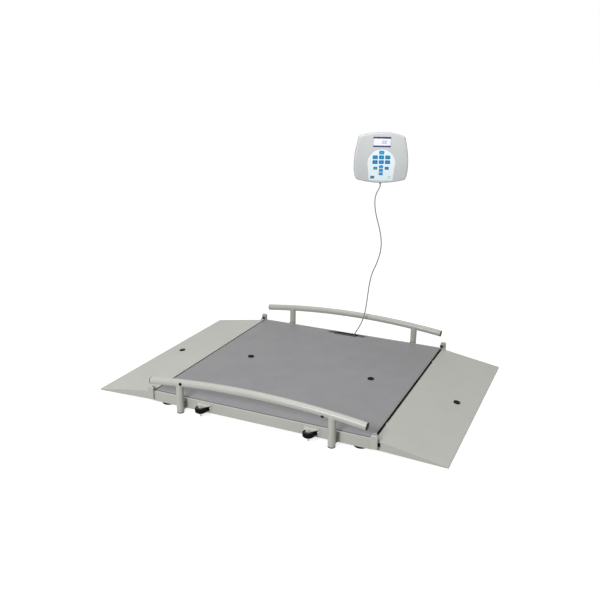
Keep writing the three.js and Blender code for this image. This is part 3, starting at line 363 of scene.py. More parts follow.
def head_outline():
    """The display's outline seen from the front, anticlockwise."""
    right = [(a * HEAD_WIDTH, b * HEAD_HEIGHT) for a, b in OUTLINE_SHARES]
    left = [(-x, z) for x, z in reversed(right)]
    points = []
    for share, start, side in ((BOW_SHARES[0], left[-1], right), (BOW_SHARES[1], right[-1], left)):
        points += quadratic(start, (0, share * HEAD_HEIGHT), side[0], 28)
        for i in (1, 3, 5):
            points += quadratic(*side[i - 1:i + 2], 14)
    return points


def pad_outline():
    """The keypad's outline: a round arch whose sides draw in towards the foot, anticlockwise."""
    radius, foot, foot_z, arch_z, corner = 67.5, 59.0, -110.0, -27.0, 8.0
    points = quadratic((foot - corner, foot_z), (foot, foot_z), (foot, foot_z + corner), 6)
    points.append((foot, foot_z + corner))
    points += [(radius * cos(pi * k / 48), arch_z + radius * sin(pi * k / 48)) for k in range(49)]
    points += quadratic((-foot, foot_z + corner), (-foot, foot_z), (corner - foot, foot_z), 6)
    return points + [(corner - foot, foot_z)]


# Mesh parts

def upright(u, v, height):
    """An outline in X and Y, with heights along Z."""
    return Vector((u, v, height))


def facing(u, v, height):
    """An outline in X and Z as seen from the front, with depths along Y."""
    return Vector((u, height, v))


def loft(bm, rings, index=0, ends=(True, True), closed=False):
    """Joins rings of as many points into one skin."""
    rows = [[bm.verts.new(point) for point in ring] for ring in rings]
    for lower, upper in zip(rows, rows[1:] + rows[:1] if closed else rows[1:]):
        for i in range(len(lower)):
            j = (i + 1) % len(lower)
            bm.faces.new((lower[i], lower[j], upper[j], upper[i])).material_index = index
    for row, wanted in ((rows[0], ends[0]), (rows[-1], ends[1])):
        if wanted and not closed:
            bm.faces.new(row).material_index = index
    return rows


def skin(bm, outline, layers, to=upright, index=0, ends=(True, True)):
    """Lofts an outline through layers of inset and height."""
    return loft(bm, [[to(u, v, height) for u, v in inset(outline, amount)] for amount, height in layers],
                index, ends)


def lathe(bm, profile, place=None, sides=48, index=0, closed=False, hexagon=()):
    """Turns a profile of radius and height round Z; the rows named in hexagon are six-sided."""
    place = place or Matrix()
    rings = []
    for row, (radius, height) in enumerate(profile):
        rings.append([])
        for angle in (tau * k / sides for k in range(sides)):
            reach = radius
            if row in hexagon:
                reach = radius * cos(pi / 6) / cos((angle + pi / 6) % (pi / 3) - pi / 6)
            rings[-1].append(place @ Vector((reach * cos(angle), reach * sin(angle), height)))
    return loft(bm, rings, index, (False, False), closed)


def bead(bm, path, radius, sides=10, index=1):
    """Sweeps a round section along a closed path."""
    rings = []
    side = None
    for before, point, after in zip(path[-1:] + path, path, path[1:] + path[:1]):
        ahead = (after - before).normalized()
        side = ahead.orthogonal() if side is None else side
        side = (side - ahead * side.dot(ahead)).normalized()
        other = ahead.cross(side)
        rings.append([point + radius * (side * cos(tau * k / sides) + other * sin(tau * k / sides))
                      for k in range(sides)])
    loft(bm, rings, index, closed=True)


def fill(bm, rows, index=0):
    """Fills the flat area between an outer row of vertices and the holes' rows."""
    edges = [bm.edges.get(pair) or bm.edges.new(pair) for row in rows for pair in zip(row, row[1:] + row[:1])]
    for made in bmesh.ops.triangle_fill(bm, use_beauty=True, edges=edges)["geom"]:
        if isinstance(made, bmesh.types.BMFace):
            made.material_index = index


def plate(bm, outline, holes, low, high, to=upright, edge=0.4, index=0):
    """A flat plate with rounded edges and holes, from low to high; low is its show side."""
    step = edge if high > low else -edge
    layers = [(edge, low), (edge * 0.3, low + step * 0.3), (0, low + step), (0, high)]
    outer = skin(bm, outline, layers, to, index, (False, False))
    inner = [skin(bm, hole, [(-amount, height) for amount, height in layers], to, index, (False, False))
             for hole in holes]
    for row in (0, -1):
        fill(bm, [rows[row] for rows in (outer, *inner)], index)


def spot(bm, choose):
    """Gives each face the finish whose number choose tells for the face's middle."""
    for face in bm.faces:
        face.material_index = choose(face.calc_center_median())


def cut(bm, axis, *places):
    """Splits faces square to an axis at places along it."""
    way = Matrix.Identity(3)[axis]
    for place in places:
        bmesh.ops.bisect_plane(bm, geom=[*bm.verts, *bm.edges, *bm.faces], plane_co=way * place, plane_no=way)


# Pieces

def evaluated(made):
    """The plain mesh that an object's modifiers make."""
    graph = bpy.context.evaluated_depsgraph_get()
    return bpy.data.meshes.new_from_object(made.evaluated_get(graph))


def poured(name, bm):
    mesh = bpy.data.meshes.new(name)
    bm.to_mesh(mesh)
    bm.free()
    return mesh


def meshed(name, build, place=None):
    """A mesh from a function that builds its parts in millimetres."""
    bm = bmesh.new()
    build(bm)
    bmesh.ops.remove_doubles(bm, verts=bm.verts, dist=MERGE)
    bmesh.ops.dissolve_degenerate(bm, dist=MERGE / 4, edges=bm.edges)
    bmesh.ops.recalc_face_normals(bm, faces=bm.faces)
    bm.transform(Matrix.Scale(MM, 4) @ (place or Matrix()))
    return poured(name, bm)


def settle(name, mesh, finishes, body="root", node=None, slot=None, smooth=35):
    """Makes a mesh a piece: finishes by name, shading, its body and the node that it stands for."""
    mesh.name = name
    for label in finishes.split()[len(mesh.materials):]:
        mesh.materials.append(finish(label))
    mesh.shade_smooth()
    mesh.set_sharp_from_angle(angle=radians(smooth))
    made = linked(name, mesh)
    made.modifiers.new("flat faces", "WEIGHTED_NORMAL").keep_sharp = True
    made.data = evaluated(made)
    made.modifiers.clear()
    made.data.name = name
    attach(made, body)
    if node:
        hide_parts(node)


def piece(name, build, finishes, place=None, **facts):
    """Makes a piece from a function that builds its parts in millimetres."""
    settle(name, meshed(name, build, place), finishes, **facts)


def turned(name, profile, place, finishes, sides=48, hexagon=(), **facts):
    """Makes a piece turned from one profile."""
    piece(name, lambda bm: lathe(bm, profile, place, sides, hexagon=hexagon), finishes, **facts)


def dressed(node, finishes, edge, slot, body="root", spots=None, cuts=(0,), soften=None):
    """Copies a solid node, rounds its edges in the second finish, and lets the copy stand for it.
    In millimetres: spots gives a face's finish from the face's middle, cuts name an axis and the places along it
    where faces are split for it, and soften gives an edge's own rounding from the edge's middle, or nothing."""
    bm = bmesh.new()
    bm.from_mesh(frame["nodes"][node].data)
    bmesh.ops.remove_doubles(bm, verts=bm.verts, dist=MERGE * MM)
    bmesh.ops.dissolve_limit(bm, angle_limit=radians(0.5), verts=bm.verts, edges=bm.edges)
    cut(bm, cuts[0], *(place * MM for place in cuts[1:]))
    spot(bm, lambda middle: spots(middle / MM) if spots else 0)
    weight = bm.edges.layers.float.new("bevel_weight_edge")
    widths = {}
    for line in bm.edges:
        if line.calc_face_angle(0.0) > radians(FOLD):
            middle = (line.verts[0].co + line.verts[1].co) / 2 / MM
            widths[line] = (soften(middle) if soften else 0) or edge
    widest = max(widths.values())
    for line, width in widths.items():
        line[weight] = width / widest
    mesh = poured(node, bm)
    for label in finishes.split():
        mesh.materials.append(finish(label))
    made = linked(node, mesh)
    bevel = made.modifiers.new("edges", "BEVEL")
    bevel.width = widest * MM
    bevel.segments = 2
    bevel.limit_method = "WEIGHT"
    # Rounded edges take the second finish; where that is a lighter edge coat, it is a painted highlight
    bevel.material = 1 if len(mesh.materials) > 1 else -1
    result = evaluated(made)
    bpy.data.objects.remove(made)
    if "bevel_weight_edge" in result.attributes:
        result.attributes.remove(result.attributes["bevel_weight_edge"])
    settle(f"{node}_skin", result, finishes, body, node, slot, smooth=50)


# Geometry Nodes

def growth(name, inputs, build):
    """Makes a node tree with named inputs; build gives the geometry, which is realised and painted."""
    tree = bpy.data.node_groups.get(name)
    if tree:
        return tree
    tree = bpy.data.node_groups.new(name, "GeometryNodeTree")
    for label, kind in {"Geometry": "Geometry", **inputs, "Finish": "Material"}.items():
        tree.interface.new_socket(label, in_out="INPUT", socket_type=f"NodeSocket{kind}")
    tree.interface.new_socket("Geometry", in_out="OUTPUT", socket_type="NodeSocketGeometry")
    given = tree.nodes.new("NodeGroupInput").outputs
    real = first(tree, "GeometryNodeRealizeInstances", {0: build(tree, given)})
    add(tree, "NodeGroupOutput", {0: first(tree, "GeometryNodeSetMaterial",
                                           {"Geometry": real, "Material": given["Finish"]})})
    return tree


def grown(name, tree, values, seed=None):
    """Runs a node tree on a seed mesh and gives the plain mesh that it makes."""
    made = linked(name, seed or bpy.data.meshes.new(name))
    modifier = made.modifiers.new("growth", "NODES")
    modifier.node_group = tree
    for item in tree.interface.items_tree:
        if item.item_type == "SOCKET" and item.in_out == "INPUT" and item.name in values:
            modifier[item.identifier] = values[item.name]
    result = evaluated(made)
    bpy.data.objects.remove(made)
    return result


def swept(tree, path, sides, radius, place, turn=(0, 0, 0)):
    """Sweeps a round section along a path, then turns and moves it."""
    section = first(tree, "GeometryNodeCurvePrimitiveCircle", {"Resolution": sides, "Radius": radius})
    made = first(tree, "GeometryNodeCurveToMesh", {"Curve": path, "Profile Curve": section, "Fill Caps": True})
    return first(tree, "GeometryNodeTransform", {"Geometry": made, "Rotation": turn, "Translation": place})


def arched_tube():
    """A tube along an arc in the XZ plane, with its middle at the top."""
    def build(tree, given):
        start = arithmetic(tree, "SUBTRACT", pi / 2, given["Half angle"])
        sweep = arithmetic(tree, "MULTIPLY", given["Half angle"], 2.0)
        arc = first(tree, "GeometryNodeCurveArc", {"Resolution": given["Rings"], "Radius": given["Arch radius"],
                                                   "Start Angle": start, "Sweep Angle": sweep}, mode="RADIUS")
        return swept(tree, arc, 48, given["Tube radius"], given["Centre"], (pi / 2, 0, 0))
    return growth("arched_tube", {"Arch radius": "Float", "Half angle": "Float", "Tube radius": "Float",
                                  "Rings": "Int", "Centre": "Vector"}, build)


def threads():
    """A fine ridge wound round a stem."""
    def build(tree, given):
        turns = arithmetic(tree, "DIVIDE", given["Height"], given["Pitch"])
        spiral = first(tree, "GeometryNodeCurveSpiral", {
            "Resolution": arithmetic(tree, "MULTIPLY", turns, 24.0), "Rotations": turns,
            "Start Radius": given["Radius"], "End Radius": given["Radius"], "Height": given["Height"]})
        return swept(tree, spiral, 4, given["Ridge"], given["Foot"])
    return growth("threads", {"Height": "Float", "Pitch": "Float", "Radius": "Float", "Ridge": "Float",
                              "Foot": "Vector"}, build)


SEED_FACTS = (("facing", "FLOAT_VECTOR"), ("share", "FLOAT"))


def repeats():
    """Copies a pattern to each seed point, turned to its facing and scaled by its share."""
    def build(tree, given):
        pattern = add(tree, "GeometryNodeObjectInfo", {"Object": given["Pattern"]}).outputs["Geometry"]
        way, share = (first(tree, "GeometryNodeInputNamedAttribute", {"Name": label}, data_type=kind)
                      for label, kind in SEED_FACTS)
        turn = first(tree, "FunctionNodeAlignRotationToVector", {"Vector": way}, axis="Z")
        scale = first(tree, "ShaderNodeVectorMath", {0: (1, 1, 1), "Scale": share}, operation="SCALE")
        return first(tree, "GeometryNodeInstanceOnPoints", {
            "Points": given["Geometry"], "Instance": pattern, "Rotation": turn, "Scale": scale})
    return growth("repeats", {"Pattern": "Object"}, build)


def repeated(name, build, places, label, **facts):
    """A piece of one pattern repeated at places, each a point, a facing and a share, all in one finish."""
    pattern = linked("pattern", meshed("pattern", build))
    seed = bpy.data.meshes.new(name)
    seed.from_pydata([Vector(point) * MM for point, _, _ in places], [], [])
    for fact, kind in SEED_FACTS:
        seed.attributes.new(fact, kind, "POINT")
    for i, (_, direction, share) in enumerate(places):
        seed.attributes["facing"].data[i].vector = direction
        seed.attributes["share"].data[i].value = share
    result = grown(name, repeats(), {"Pattern": pattern, "Finish": finish(label)}, seed)
    bpy.data.objects.remove(pattern)
    for fact, _ in SEED_FACTS:
        if fact in result.attributes:
            result.attributes.remove(result.attributes[fact])
    settle(name, result, label, **facts)


def button_screw(bm):
    """A domed screw head of radius 5 with a six-sided socket, seated at zero."""
    lathe(bm, [(0, 0), (5, 0), (5, 0.6), (4.6, 1.6), (3.7, 2.4), (2.6, 2.75), (2.3, 2.75), (2.2, 1.2), (0, 1.2)],
          sides=24, hexagon=(6, 7))


def screws(name, places):
    """Zinc plated screw heads at places."""
    repeated(name, button_screw, places, "zinc_plate", slot="zinc_steel")


def relief_rib(bm):
    """A rounded ring of radius 6 for a strain relief."""
    lathe(bm, [(5.0, -0.7), (5.9, -0.7), (6.2, -0.35), (6.2, 0.35), (5.9, 0.7), (5.0, 0.7)], sides=32, closed=True)


# Cord

# Route from the display down to the hand grip tray
CORD_ROUTE = [
    (139.856, 524.845, 861.4), (139.856, 524.845, 852.4),
    (134, 524, 838), (124.5, 523, 818), (118.5, 522, 795), (117.5, 522, 768), (121, 521, 738), (128, 521, 706),
    (138, 521, 672), (148, 521, 640), (156, 521, 606), (160.5, 521, 572), (160.5, 521, 542), (156.5, 521, 512),
    (149, 520, 482), (139, 520, 452), (127.5, 520, 424), (117, 520, 392), (109, 520, 350), (103.5, 520, 304),
    (99, 520, 256), (93.5, 520, 208), (85, 520, 166), (73, 519, 128), (59, 518, 98), (46, 517, 74),
    (38, 516.45, 56.9), (38, 516.45, 47.9),
]


def cord_line(steps=8):
    """The smooth line through the cord's route."""
    route = [Vector(point) for point in CORD_ROUTE]
    route = [route[0] * 2 - route[1]] + route + [route[-1] * 2 - route[-2]]
    line = []
    for a, b, c, d in zip(route, route[1:], route[2:], route[3:]):
        ab, bc, cd = (sqrt((q - p).length) for p, q in ((a, b), (b, c), (c, d)))
        leave = ((b - a) / ab - (c - a) / (ab + bc) + (c - b) / bc) * bc
        arrive = ((c - b) / bc - (d - b) / (bc + cd) + (d - c) / cd) * bc
        for k in range(steps):
            t = k / steps
            line.append(b * (2 * t ** 3 - 3 * t ** 2 + 1) + leave * (t ** 3 - 2 * t ** 2 + t)
                        + c * (3 * t ** 2 - 2 * t ** 3) + arrive * (t ** 3 - t ** 2))
    return line + [route[-2]]


def make_cord():
    line = cord_line()
    length = sum((b - a).length for a, b in zip(line, line[1:])) * MM
    radius = size("cord_radius") * MM
    curve = bpy.data.curves.new("signal_cord_sheath", "CURVE")
    curve.dimensions = "3D"
    curve.bevel_depth = radius
    curve.bevel_resolution = 6
    curve.use_fill_caps = True
    spline = curve.splines.new("POLY")
    spline.points.add(len(line) - 1)
    for point, place in zip(spline.points, line):
        point.co = (*(place * MM), 1)
    spline.use_smooth = True
    curve.materials.append(finish("pvc_sheath"))
    cord = linked("signal_cord_sheath", curve)
    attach(cord, "root")
    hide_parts("signal_cord")


def make_reliefs():
    """Ribbed strain reliefs at the two ends of the cord."""
    for name, node, seat, profile, fade, label, (start, pitch, count, full, fall) in (
            ("platform_relief", "platform_gland", Vector(TRAY_RELIEF),
             [(0, 0), (8.5, 0), (8.5, 2.5), (5.2, 2.6), (3.6, 30), (0, 30)], 0.5, "black_abs",
             (5, 2.9, 9, 0.97, 0.033)),
            ("display_relief", "head_gland", HEAD @ Vector(HEAD_RELIEF),
             [(0, 0), (8.5, 0), (8.5, -2.5), (5.2, -2.6), (3.9, -9.7), (0, -9.7)], 0.4, "housing_plastic",
             (-3.9, -2.3, 3, 0.93, 0.06))):
        turned(name, rounded(profile, fade), at(*seat), label, node=node, slot="black_plastic")
        ribs = [(seat + Vector((0, 0, start + pitch * k)), (0, 0, 1), full - fall * k) for k in range(count)]
        repeated(f"{name}_ribs", relief_rib, ribs, label, slot="black_plastic")


# Platform

# The second coat is painted lighter: a highlight along the rounded edges
COATS = "powder_coat powder_coat_edge"


def channel_spots(middle):
    """Painted shade on the brackets behind the posts, and mat rubber on the rear channel's rim."""
    if abs(middle.y) > SIDE_FACE + 0.2:
        # Brackets behind the posts: painted shade
        return 2
    return 3 if middle.z > 56.5 and middle.y > 0 else 0


def make_frame():
    edge = size("edge_round")
    for side, _ in SIDES:
        dressed(f"side_channel_{side}", f"{COATS} primer_coat sheet_rubber", edge, "frame_paint",
                spots=channel_spots,
                # The top front edge is rounded wider, which widens the painted highlight along it
                soften=lambda middle: 2.2 if abs(middle.y) > SIDE_FACE - 0.1 and middle.z > 55.9 else 0)
    for end, _ in ENDS:
        dressed(f"end_channel_{end}", COATS, edge, "frame_paint")
    dressed("cross_channel", COATS, 0.6, "frame_paint")
    pin = rounded([(0, 521), (6.2, 521), (8, 522.4), (8, 524.95), (4.7, 524.95), (4.7, 531.55), (8, 531.55),
                   (8, 536.7), (4.7, 536.7), (4.7, 544.6), (0, 545)], 0.4)
    for x, y, corner in CORNERS:
        turned(f"hinge_pin_{corner}_turned", pin, at(x * HINGE_X, 0, HINGE_Z) @ Matrix.Rotation(-y * pi / 2, 4, "X"),
               "burnished_steel", 40, node=f"hinge_pin_{corner}", slot="zinc_steel")


def bumper(name, rise, place, body="root"):
    """A rubber disc with a rounded rim, a shallow dish and a stem."""
    top = rise + 4
    rim = rounded([(14.5, 0.3), (14.5, top), (12.6, top), (11.6, top - 0.5), (4.2, top - 0.5), (3.2, top - 1.6),
                   (0, top - 1.6)], 0.9, 4)
    turned(f"{name}_disc", [(0, -3), (5, -3), (5, 0.3), *rim], place, "moulded_rubber", 56, body=body,
           node=name, slot="black_rubber")


def deck_spots(middle):
    """Painted shade on the deck's long margins, and black rubber on its ends as a painted shadow in the hinge gaps.
    """
    if abs(middle.x) > DECK_END - 0.1:
        # Ends in the hinge gaps: black rubber as a painted shadow
        return 3
    # Long margins beside the mat: painted shade
    return 2 if middle.z > DECK_TOP - 0.1 and abs(middle.y) > MAT_SIDE else 0


def trim(bm):
    """The hand grip's trim: a dark middle and two dark end pads, each with a grey field."""
    layers = [(0, 56.9), (0, 57.5), (0.2, 57.8), (0.6, 57.9)]
    skin(bm, rectangle(TRAY_RIGHT - TRAY_LEFT, 20, 2, (TRAY_LEFT + TRAY_RIGHT) / 2, TRIM_Y), layers)
    for start, end in ((-100, TRAY_LEFT - 1), (TRAY_RIGHT + 1, 95)):
        middle = (start + end) / 2
        skin(bm, rectangle(end - start, 12, 3, middle, PAD_Y), layers)
        skin(bm, rectangle(end - start - 7, 7, 2, middle, PAD_Y), [(0, 57.6), (0, 58.0), (0.3, 58.2)], index=1)


def make_deck():
    dressed("weigh_deck", f"{COATS} deck_seal moulded_rubber", size("edge_round"), "frame_paint", spots=deck_spots,
            cuts=(1, -MAT_SIDE, MAT_SIDE))
    dressed("deck_mat", "sheet_rubber", 0.7, "mat_rubber")
    for end, sign in ENDS:
        bumper(f"deck_bumper_{end}", 2, at(sign * DECK_BUMPER_X, 0, DECK_TOP))
    dressed("grip_tray", "black_abs black_abs grey_abs", 0.5, "black_plastic",
            spots=lambda middle: 0 if TRAY_LEFT < middle.x < TRAY_RIGHT else 2,
            cuts=(0, TRAY_LEFT, TRAY_RIGHT))
    piece("grip_trim", trim, "black_abs grey_abs", slot="black_plastic")


def ramp_shoulder(middle):
    """The wider rounding where a ramp's top folds down into its sides, which carries the ramp's painted highlight
    line.
    """
    run = abs(middle.x) - RAMP_START
    on_top = middle.z > RAMP_TOP - RAMP_FALL * run - 0.6
    return 2.8 if run > 20 and abs(middle.y) > RAMP_SIDE - 0.3 and on_top else 0


def make_ramps():
    for end, sign in ENDS:
        body = f"ramp_{end}"
        dressed(body, "ramp_coat ramp_coat_edge", size("edge_round"), "frame_paint", body, soften=ramp_shoulder)
        # Black rubber set just inside the slots in the ramp's sides: painted shade in the slots
        slot = rectangle(11.8, 17.8, 1.5, sign * (RAMP_START + 16), 33.5)
        for name, side in SIDES:
            layers = [(amount, side * (RAMP_SIDE - depth))
                      for amount, depth in ((1, 1.2), (0.3, 1.3), (0, 1.8), (0, 5.8))]
            piece(f"ramp_plug_{end}_{name}", lambda bm: skin(bm, slot, layers, facing), "moulded_rubber",
                  body=body, slot="black_rubber")
        tilt = asin(RAMP_FALL / sqrt(1 + RAMP_FALL ** 2))
        bumper(f"ramp_bumper_{end}", 0,
               at(sign * RAMP_BUMPER_X, 0, RAMP_BUMPER_Z) @ Matrix.Rotation(sign * tilt, 4, "Y"), body)


# Rails

def crown(x):
    """The height of a rail's middle line."""
    return RAIL_CENTRE_Z + sqrt(RAIL_RADIUS ** 2 - x ** 2)


def post(bm, x, y, radius, weld):
    """A post coped to its rail, with the bead of its weld."""
    foot = [Vector((u, v, POST_FOOT)) for u, v in circle(radius, x, y, 48)]
    saddle = [Vector((p.x, p.y, crown(p.x) - sqrt(max(radius ** 2 - (p.y - y) ** 2, 0)))) for p in foot]

    def drawn(ring, share, rise):
        return [Vector((x + (p.x - x) * share, y + (p.y - y) * share, p.z + rise)) for p in ring]

    loft(bm, [drawn(foot, 0.97, 0), drawn(foot, 1, 0.5), saddle, drawn(saddle, 0.93, 2.5)])
    outward = [Vector((p.x - x, p.y - y, 0)).normalized() for p in saddle]
    # The bead takes the lighter edge coat: a painted highlight
    bead(bm, [p + (o - Vector((0, 0, 1))) * (0.25 * weld) for p, o in zip(saddle, outward)], weld)


def make_rails():
    radius = size("tube_radius")
    half_angle = asin(RAIL_HALF / RAIL_RADIUS)
    plug = rounded([(0, 0.8), (14.6, 0.8), (15.9, 2.2), (15.9, 5.1), (13.4, 5.1), (13.4, 14), (0, 14)], 0.5)
    cap = rounded([(0, -12), (13.6, -12), (13.6, 0.3), (15.9, 0.3), (15.9, 2.8), (13.9, 4.7), (10, 5), (0, 5)],
                  0.7, 4)
    for name, side in SIDES:
        y = side * RAIL_Y
        arch = grown(f"rail_{name}", arched_tube(), {
            "Arch radius": RAIL_RADIUS * MM, "Half angle": half_angle, "Tube radius": radius * MM, "Rings": 72,
            "Centre": Vector((0, y, RAIL_CENTRE_Z)) * MM, "Finish": finish("powder_coat")})

        def rail(bm):
            bm.from_mesh(arch)
            bm.transform(Matrix.Scale(1 / MM, 4))
            for _, end in ENDS:
                post(bm, end * POST_X, y, radius, size("weld_bead"))

        piece(f"handrail_{name}_tube", rail, COATS, node=f"handrail_{name}", slot="frame_paint")
        for tail, end in ENDS:
            turned(f"post_plug_{name}_{tail}", plug, at(end * POST_X, y, 0), "moulded_rubber", slot="black_rubber")
            place = at(end * RAIL_HALF, y, crown(RAIL_HALF)) @ Matrix.Rotation(end * (pi / 2 + half_angle), 4, "Y")
            turned(f"rail_cap_{name}_{tail}_plug", cap, place, "black_abs", node=f"rail_cap_{name}_{tail}",
                   slot="black_plastic")
    stop = rounded([(0, -0.6), (6.8, -0.6), (6.8, 1.4), (5.8, 3.6), (3.4, 4.7), (0, 4.9)], 0.9)
    for name, x, angle in (("left", -331, -4), ("right", 308, 45)):
        out = Vector((0, -cos(radians(angle)), -sin(radians(angle))))
        middle = Vector((x, -RAIL_Y, crown(x))) + out * radius
        turned(f"rail_dot_{name}", stop, at(*middle) @ out.to_track_quat("Z", "Y").to_matrix().to_4x4(),
               "moulded_rubber", slot="black_rubber")


# Wheels, feet and load cells

def bracket(bm, x):
    """A plate with two arms that taper from its width to a round nose, a black patch between them as painted shade,
    and the upper arm painted lighter as a highlight.
    """
    plate(bm, rectangle(76, 36, 1.5, x, WHEEL_MIDDLE, 3), [], BRACKET_FACE, BRACKET_FACE + 2, facing)
    half, low, high = 28, 22, 44
    cut(bm, 0, x - half, x + half)
    cut(bm, 2, low, high)
    # A black patch between the arms: painted shade
    spot(bm, lambda middle: 2 * (middle.y < BRACKET_FACE + 0.1 and abs(middle.x - x) < half
                                 and low < middle.z < high))
    base, nose, root = 34, 9.5, BRACKET_FACE + 0.4
    across = Vector((base, root - WHEEL_Y))
    turn = atan2(across.y, across.x) - acos(nose / across.length)
    arm = [(x + base, root), (x - base, root)]
    for k in range(15):
        angle = pi - turn + (pi + 2 * turn) * k / 14
        arm.append((x + nose * cos(angle), WHEEL_Y + nose * sin(angle)))
    hole = circle(4.3, x, WHEEL_Y, 24)
    # The upper arm takes the lighter edge coat: a painted highlight on its top
    plate(bm, arm, [hole], 47, 44, edge=0.5, index=1)
    plate(bm, arm, [hole], 19, 22, edge=0.5)


def make_wheels():
    half = 10.4
    tyre = rounded([(18.2, -8.2), (18.2, -half), (21.4, -half), (24.2, -half + 2.8), (24.2, half - 2.8),
                    (21.4, half), (18.2, half), (18.2, 8.2)], 1.2, 4)
    hub = rounded([(4.4, -half), (10.6, -half), (12.6, -8.2), (18.1, -8.2)], 0.8)
    hub += [(r, -h) for r, h in reversed(hub)]
    bolt = [(0, 3), (3.4, 3), (4, 3.8), (4, 12.7), (7.2, 12.7), (7.5, 13.3), (7.5, 18.2), (7.2, 18.7), (4, 18.7),
            (4, 47.3), (7.2, 47.3), (7.5, 47.8), (7.5, 50.7), (6.6, 51.3), (0, 51.3)]
    for name, sign in ENDS:
        x = sign * WHEEL_X
        piece(f"wheel_bracket_{name}_skin", lambda bm: bracket(bm, x), f"{COATS} black_abs",
              node=f"wheel_bracket_{name}", slot="frame_paint")

        def wheel(bm):
            for profile, index in ((tyre, 0), (hub, 1)):
                lathe(bm, profile, at(x, WHEEL_Y, WHEEL_MIDDLE), 64, index, closed=True)

        piece(f"wheel_{name}_tyre", wheel, "moulded_rubber hub_nylon", body=f"wheel_{name}",
              node=f"wheel_{name}", slot="black_rubber")
        turned(f"axle_bolt_{name}_shank", bolt, at(x, WHEEL_Y, 0), "zinc_plate", hexagon=(4, 5, 6, 7, 10, 11, 12),
               node=f"axle_bolt_{name}", slot="zinc_steel")
        screws(f"bracket_screws_{name}", [((x + side * 30, BRACKET_FACE, WHEEL_MIDDLE), (0, -1, 0), 0.9)
                                          for side in (-1, 1)])


def make_feet():
    pitch = size("thread_pitch")
    stem, thread_start, thread_run = 5.6, 12, 17.0
    pad = rounded([(0, 0), (24, 0), (24, 0.5), (27.4, 0.5), (29, 2), (29, 7.2), (27.2, 9), (9.6, 9), (9.6, 9.02),
                   (9.4, 11), (stem, 11), (stem, 29.4), (5, 30), (0, 30)], 0.5)
    for x, y, corner in CORNERS:
        middle = Vector((x * FOOT_X, y * FOOT_Y, 0))
        thread = grown(f"thread_{corner}", threads(), {
            "Height": thread_run * MM, "Pitch": pitch * MM, "Radius": stem * MM, "Ridge": 0.4 * pitch * MM,
            "Foot": (middle + Vector((0, 0, thread_start))) * MM, "Finish": finish("zinc_plate")})

        def foot(bm):
            bm.from_mesh(thread)
            bm.transform(Matrix.Scale(1 / MM, 4))
            lathe(bm, pad, at(*middle), 64)
            spot(bm, lambda centre: int(centre.z > 9.01))

        piece(f"foot_{corner}_pad", foot, "moulded_rubber zinc_plate", body=f"foot_{corner}",
              node=f"foot_{corner}", slot="black_rubber")


def make_cells():
    for x, y, corner in CORNERS:
        dressed(f"load_cell_{corner}", "milled_aluminium", 0.5, "cell_aluminium")
        screws(f"load_cell_screws_{corner}", [
            ((x * (CELL_SCREW_X - 26 * k), y * (FOOT_Y + 8 * s), CELL_SCREW_Z), (0, 0, 1), 0.9)
            for k in (0, 1) for s in (-1, 1)])
    dressed("summing_box", "housing_plastic", 0.8, "grey_plastic")
    screws("summing_box_screws", [((a * 46, BOX_Y + b * 28, BOX_TOP), (0, 0, 1), 0.55)
                                  for a in (-1, 1) for b in (-1, 1)])


# Display

def front_shell(bm):
    """The front shell: its face falls away softly, widest at the sides, with holes for window and keypad."""
    outline = head_outline()
    inward = [Vector(b) - Vector(a) for a, b in zip(outline, inset(outline, 1.0))]
    reach = [5.5 + 4 * abs(way.x) + 5 * max(-way.y, 0) for way in inward]
    fall, steps = 7, 9
    rings = []
    for k in range(steps + 1):
        angle = pi / 2 * k / steps
        share, depth = 1 - sin(angle), fall * (1 - cos(angle))
        rings.append([facing(u + way.x * wide * share, v + way.y * wide * share, depth)
                      for (u, v), way, wide in zip(outline, inward, reach)])
    for amount, depth in ((0, 21.1), (0.7, 21.3), (0.7, 22), (3, 22), (3, 9)):
        rings.append([facing(u, v, depth) for u, v in inset(outline, amount)])
    rows = loft(bm, rings, ends=(False, True))
    holes = [skin(bm, hole, [(-0.7, 0), (-0.2, 0.2), (0, 0.7), (0, 3)], facing, ends=(False, True))
             for hole in (rectangle(86.6, 48.6, 3.3, 0, WINDOW_Z), inset(pad_outline(), -0.3))]
    fill(bm, [rows[0]] + [hole[0] for hole in holes])


def back_shell(bm):
    """The back shell: a lip inside the front one, then a wall that rounds over to a flat back."""
    edge = 7.0
    layers = [(edge - edge * cos(pi / 2 * k / 7), 37.3 + edge * sin(pi / 2 * k / 7)) for k in range(8)]
    skin(bm, head_outline(), [(3, 41.3), (3, 22.3), (0.7, 22.3), (0.7, 23), (0, 23.2)] + layers, facing)


def screen(bm):
    """The window's pane: a lit field with pale ends between two printed bars."""
    rows = skin(bm, rectangle(86, 48, 3, 0, WINDOW_Z), [(0.4, 0.3), (0.12, 0.42), (0, 0.7), (0, 2.7)], facing,
                ends=(False, True))
    bm.faces.new(rows[0])
    half, low, high = 38.5, 58.2, 91.0
    cut(bm, 2, low, high)
    cut(bm, 0, -half, half)
    spot(bm, lambda middle: (0 if abs(middle.x) < half else 2) if low < middle.z < high else 1)


FIGURE_LAYERS = [(0, 0.24), (0, 0.36)]


def figures(bm):
    """Two leaning seven-segment zeros, 9 mm wide and 15 mm high, with a point between them."""
    width, height, bar = 6.8, 12.6, 2.3
    tip = bar / 2
    for x in (5.6, 18.4):
        for a, b, flat in ((0, 1, True), (0, -1, True), (-1, 0.5, False), (1, 0.5, False), (-1, -0.5, False),
                           (1, -0.5, False)):
            half = (width if flat else height / 2) / 2 - 0.35
            outline = []
            for u, v in ((-half, 0), (tip - half, -tip), (half - tip, -tip), (half, 0), (half - tip, tip),
                         (tip - half, tip)):
                p, q = (u, v) if flat else (-v, u)
                p, q = p + a * width / 2, q + b * height / 2
                outline.append((x + p + q * 0.1, WINDOW_Z - 1 + q))
            skin(bm, outline, FIGURE_LAYERS, facing)
    skin(bm, circle(1.2, 11.6, 67.4, 16), FIGURE_LAYERS, facing)


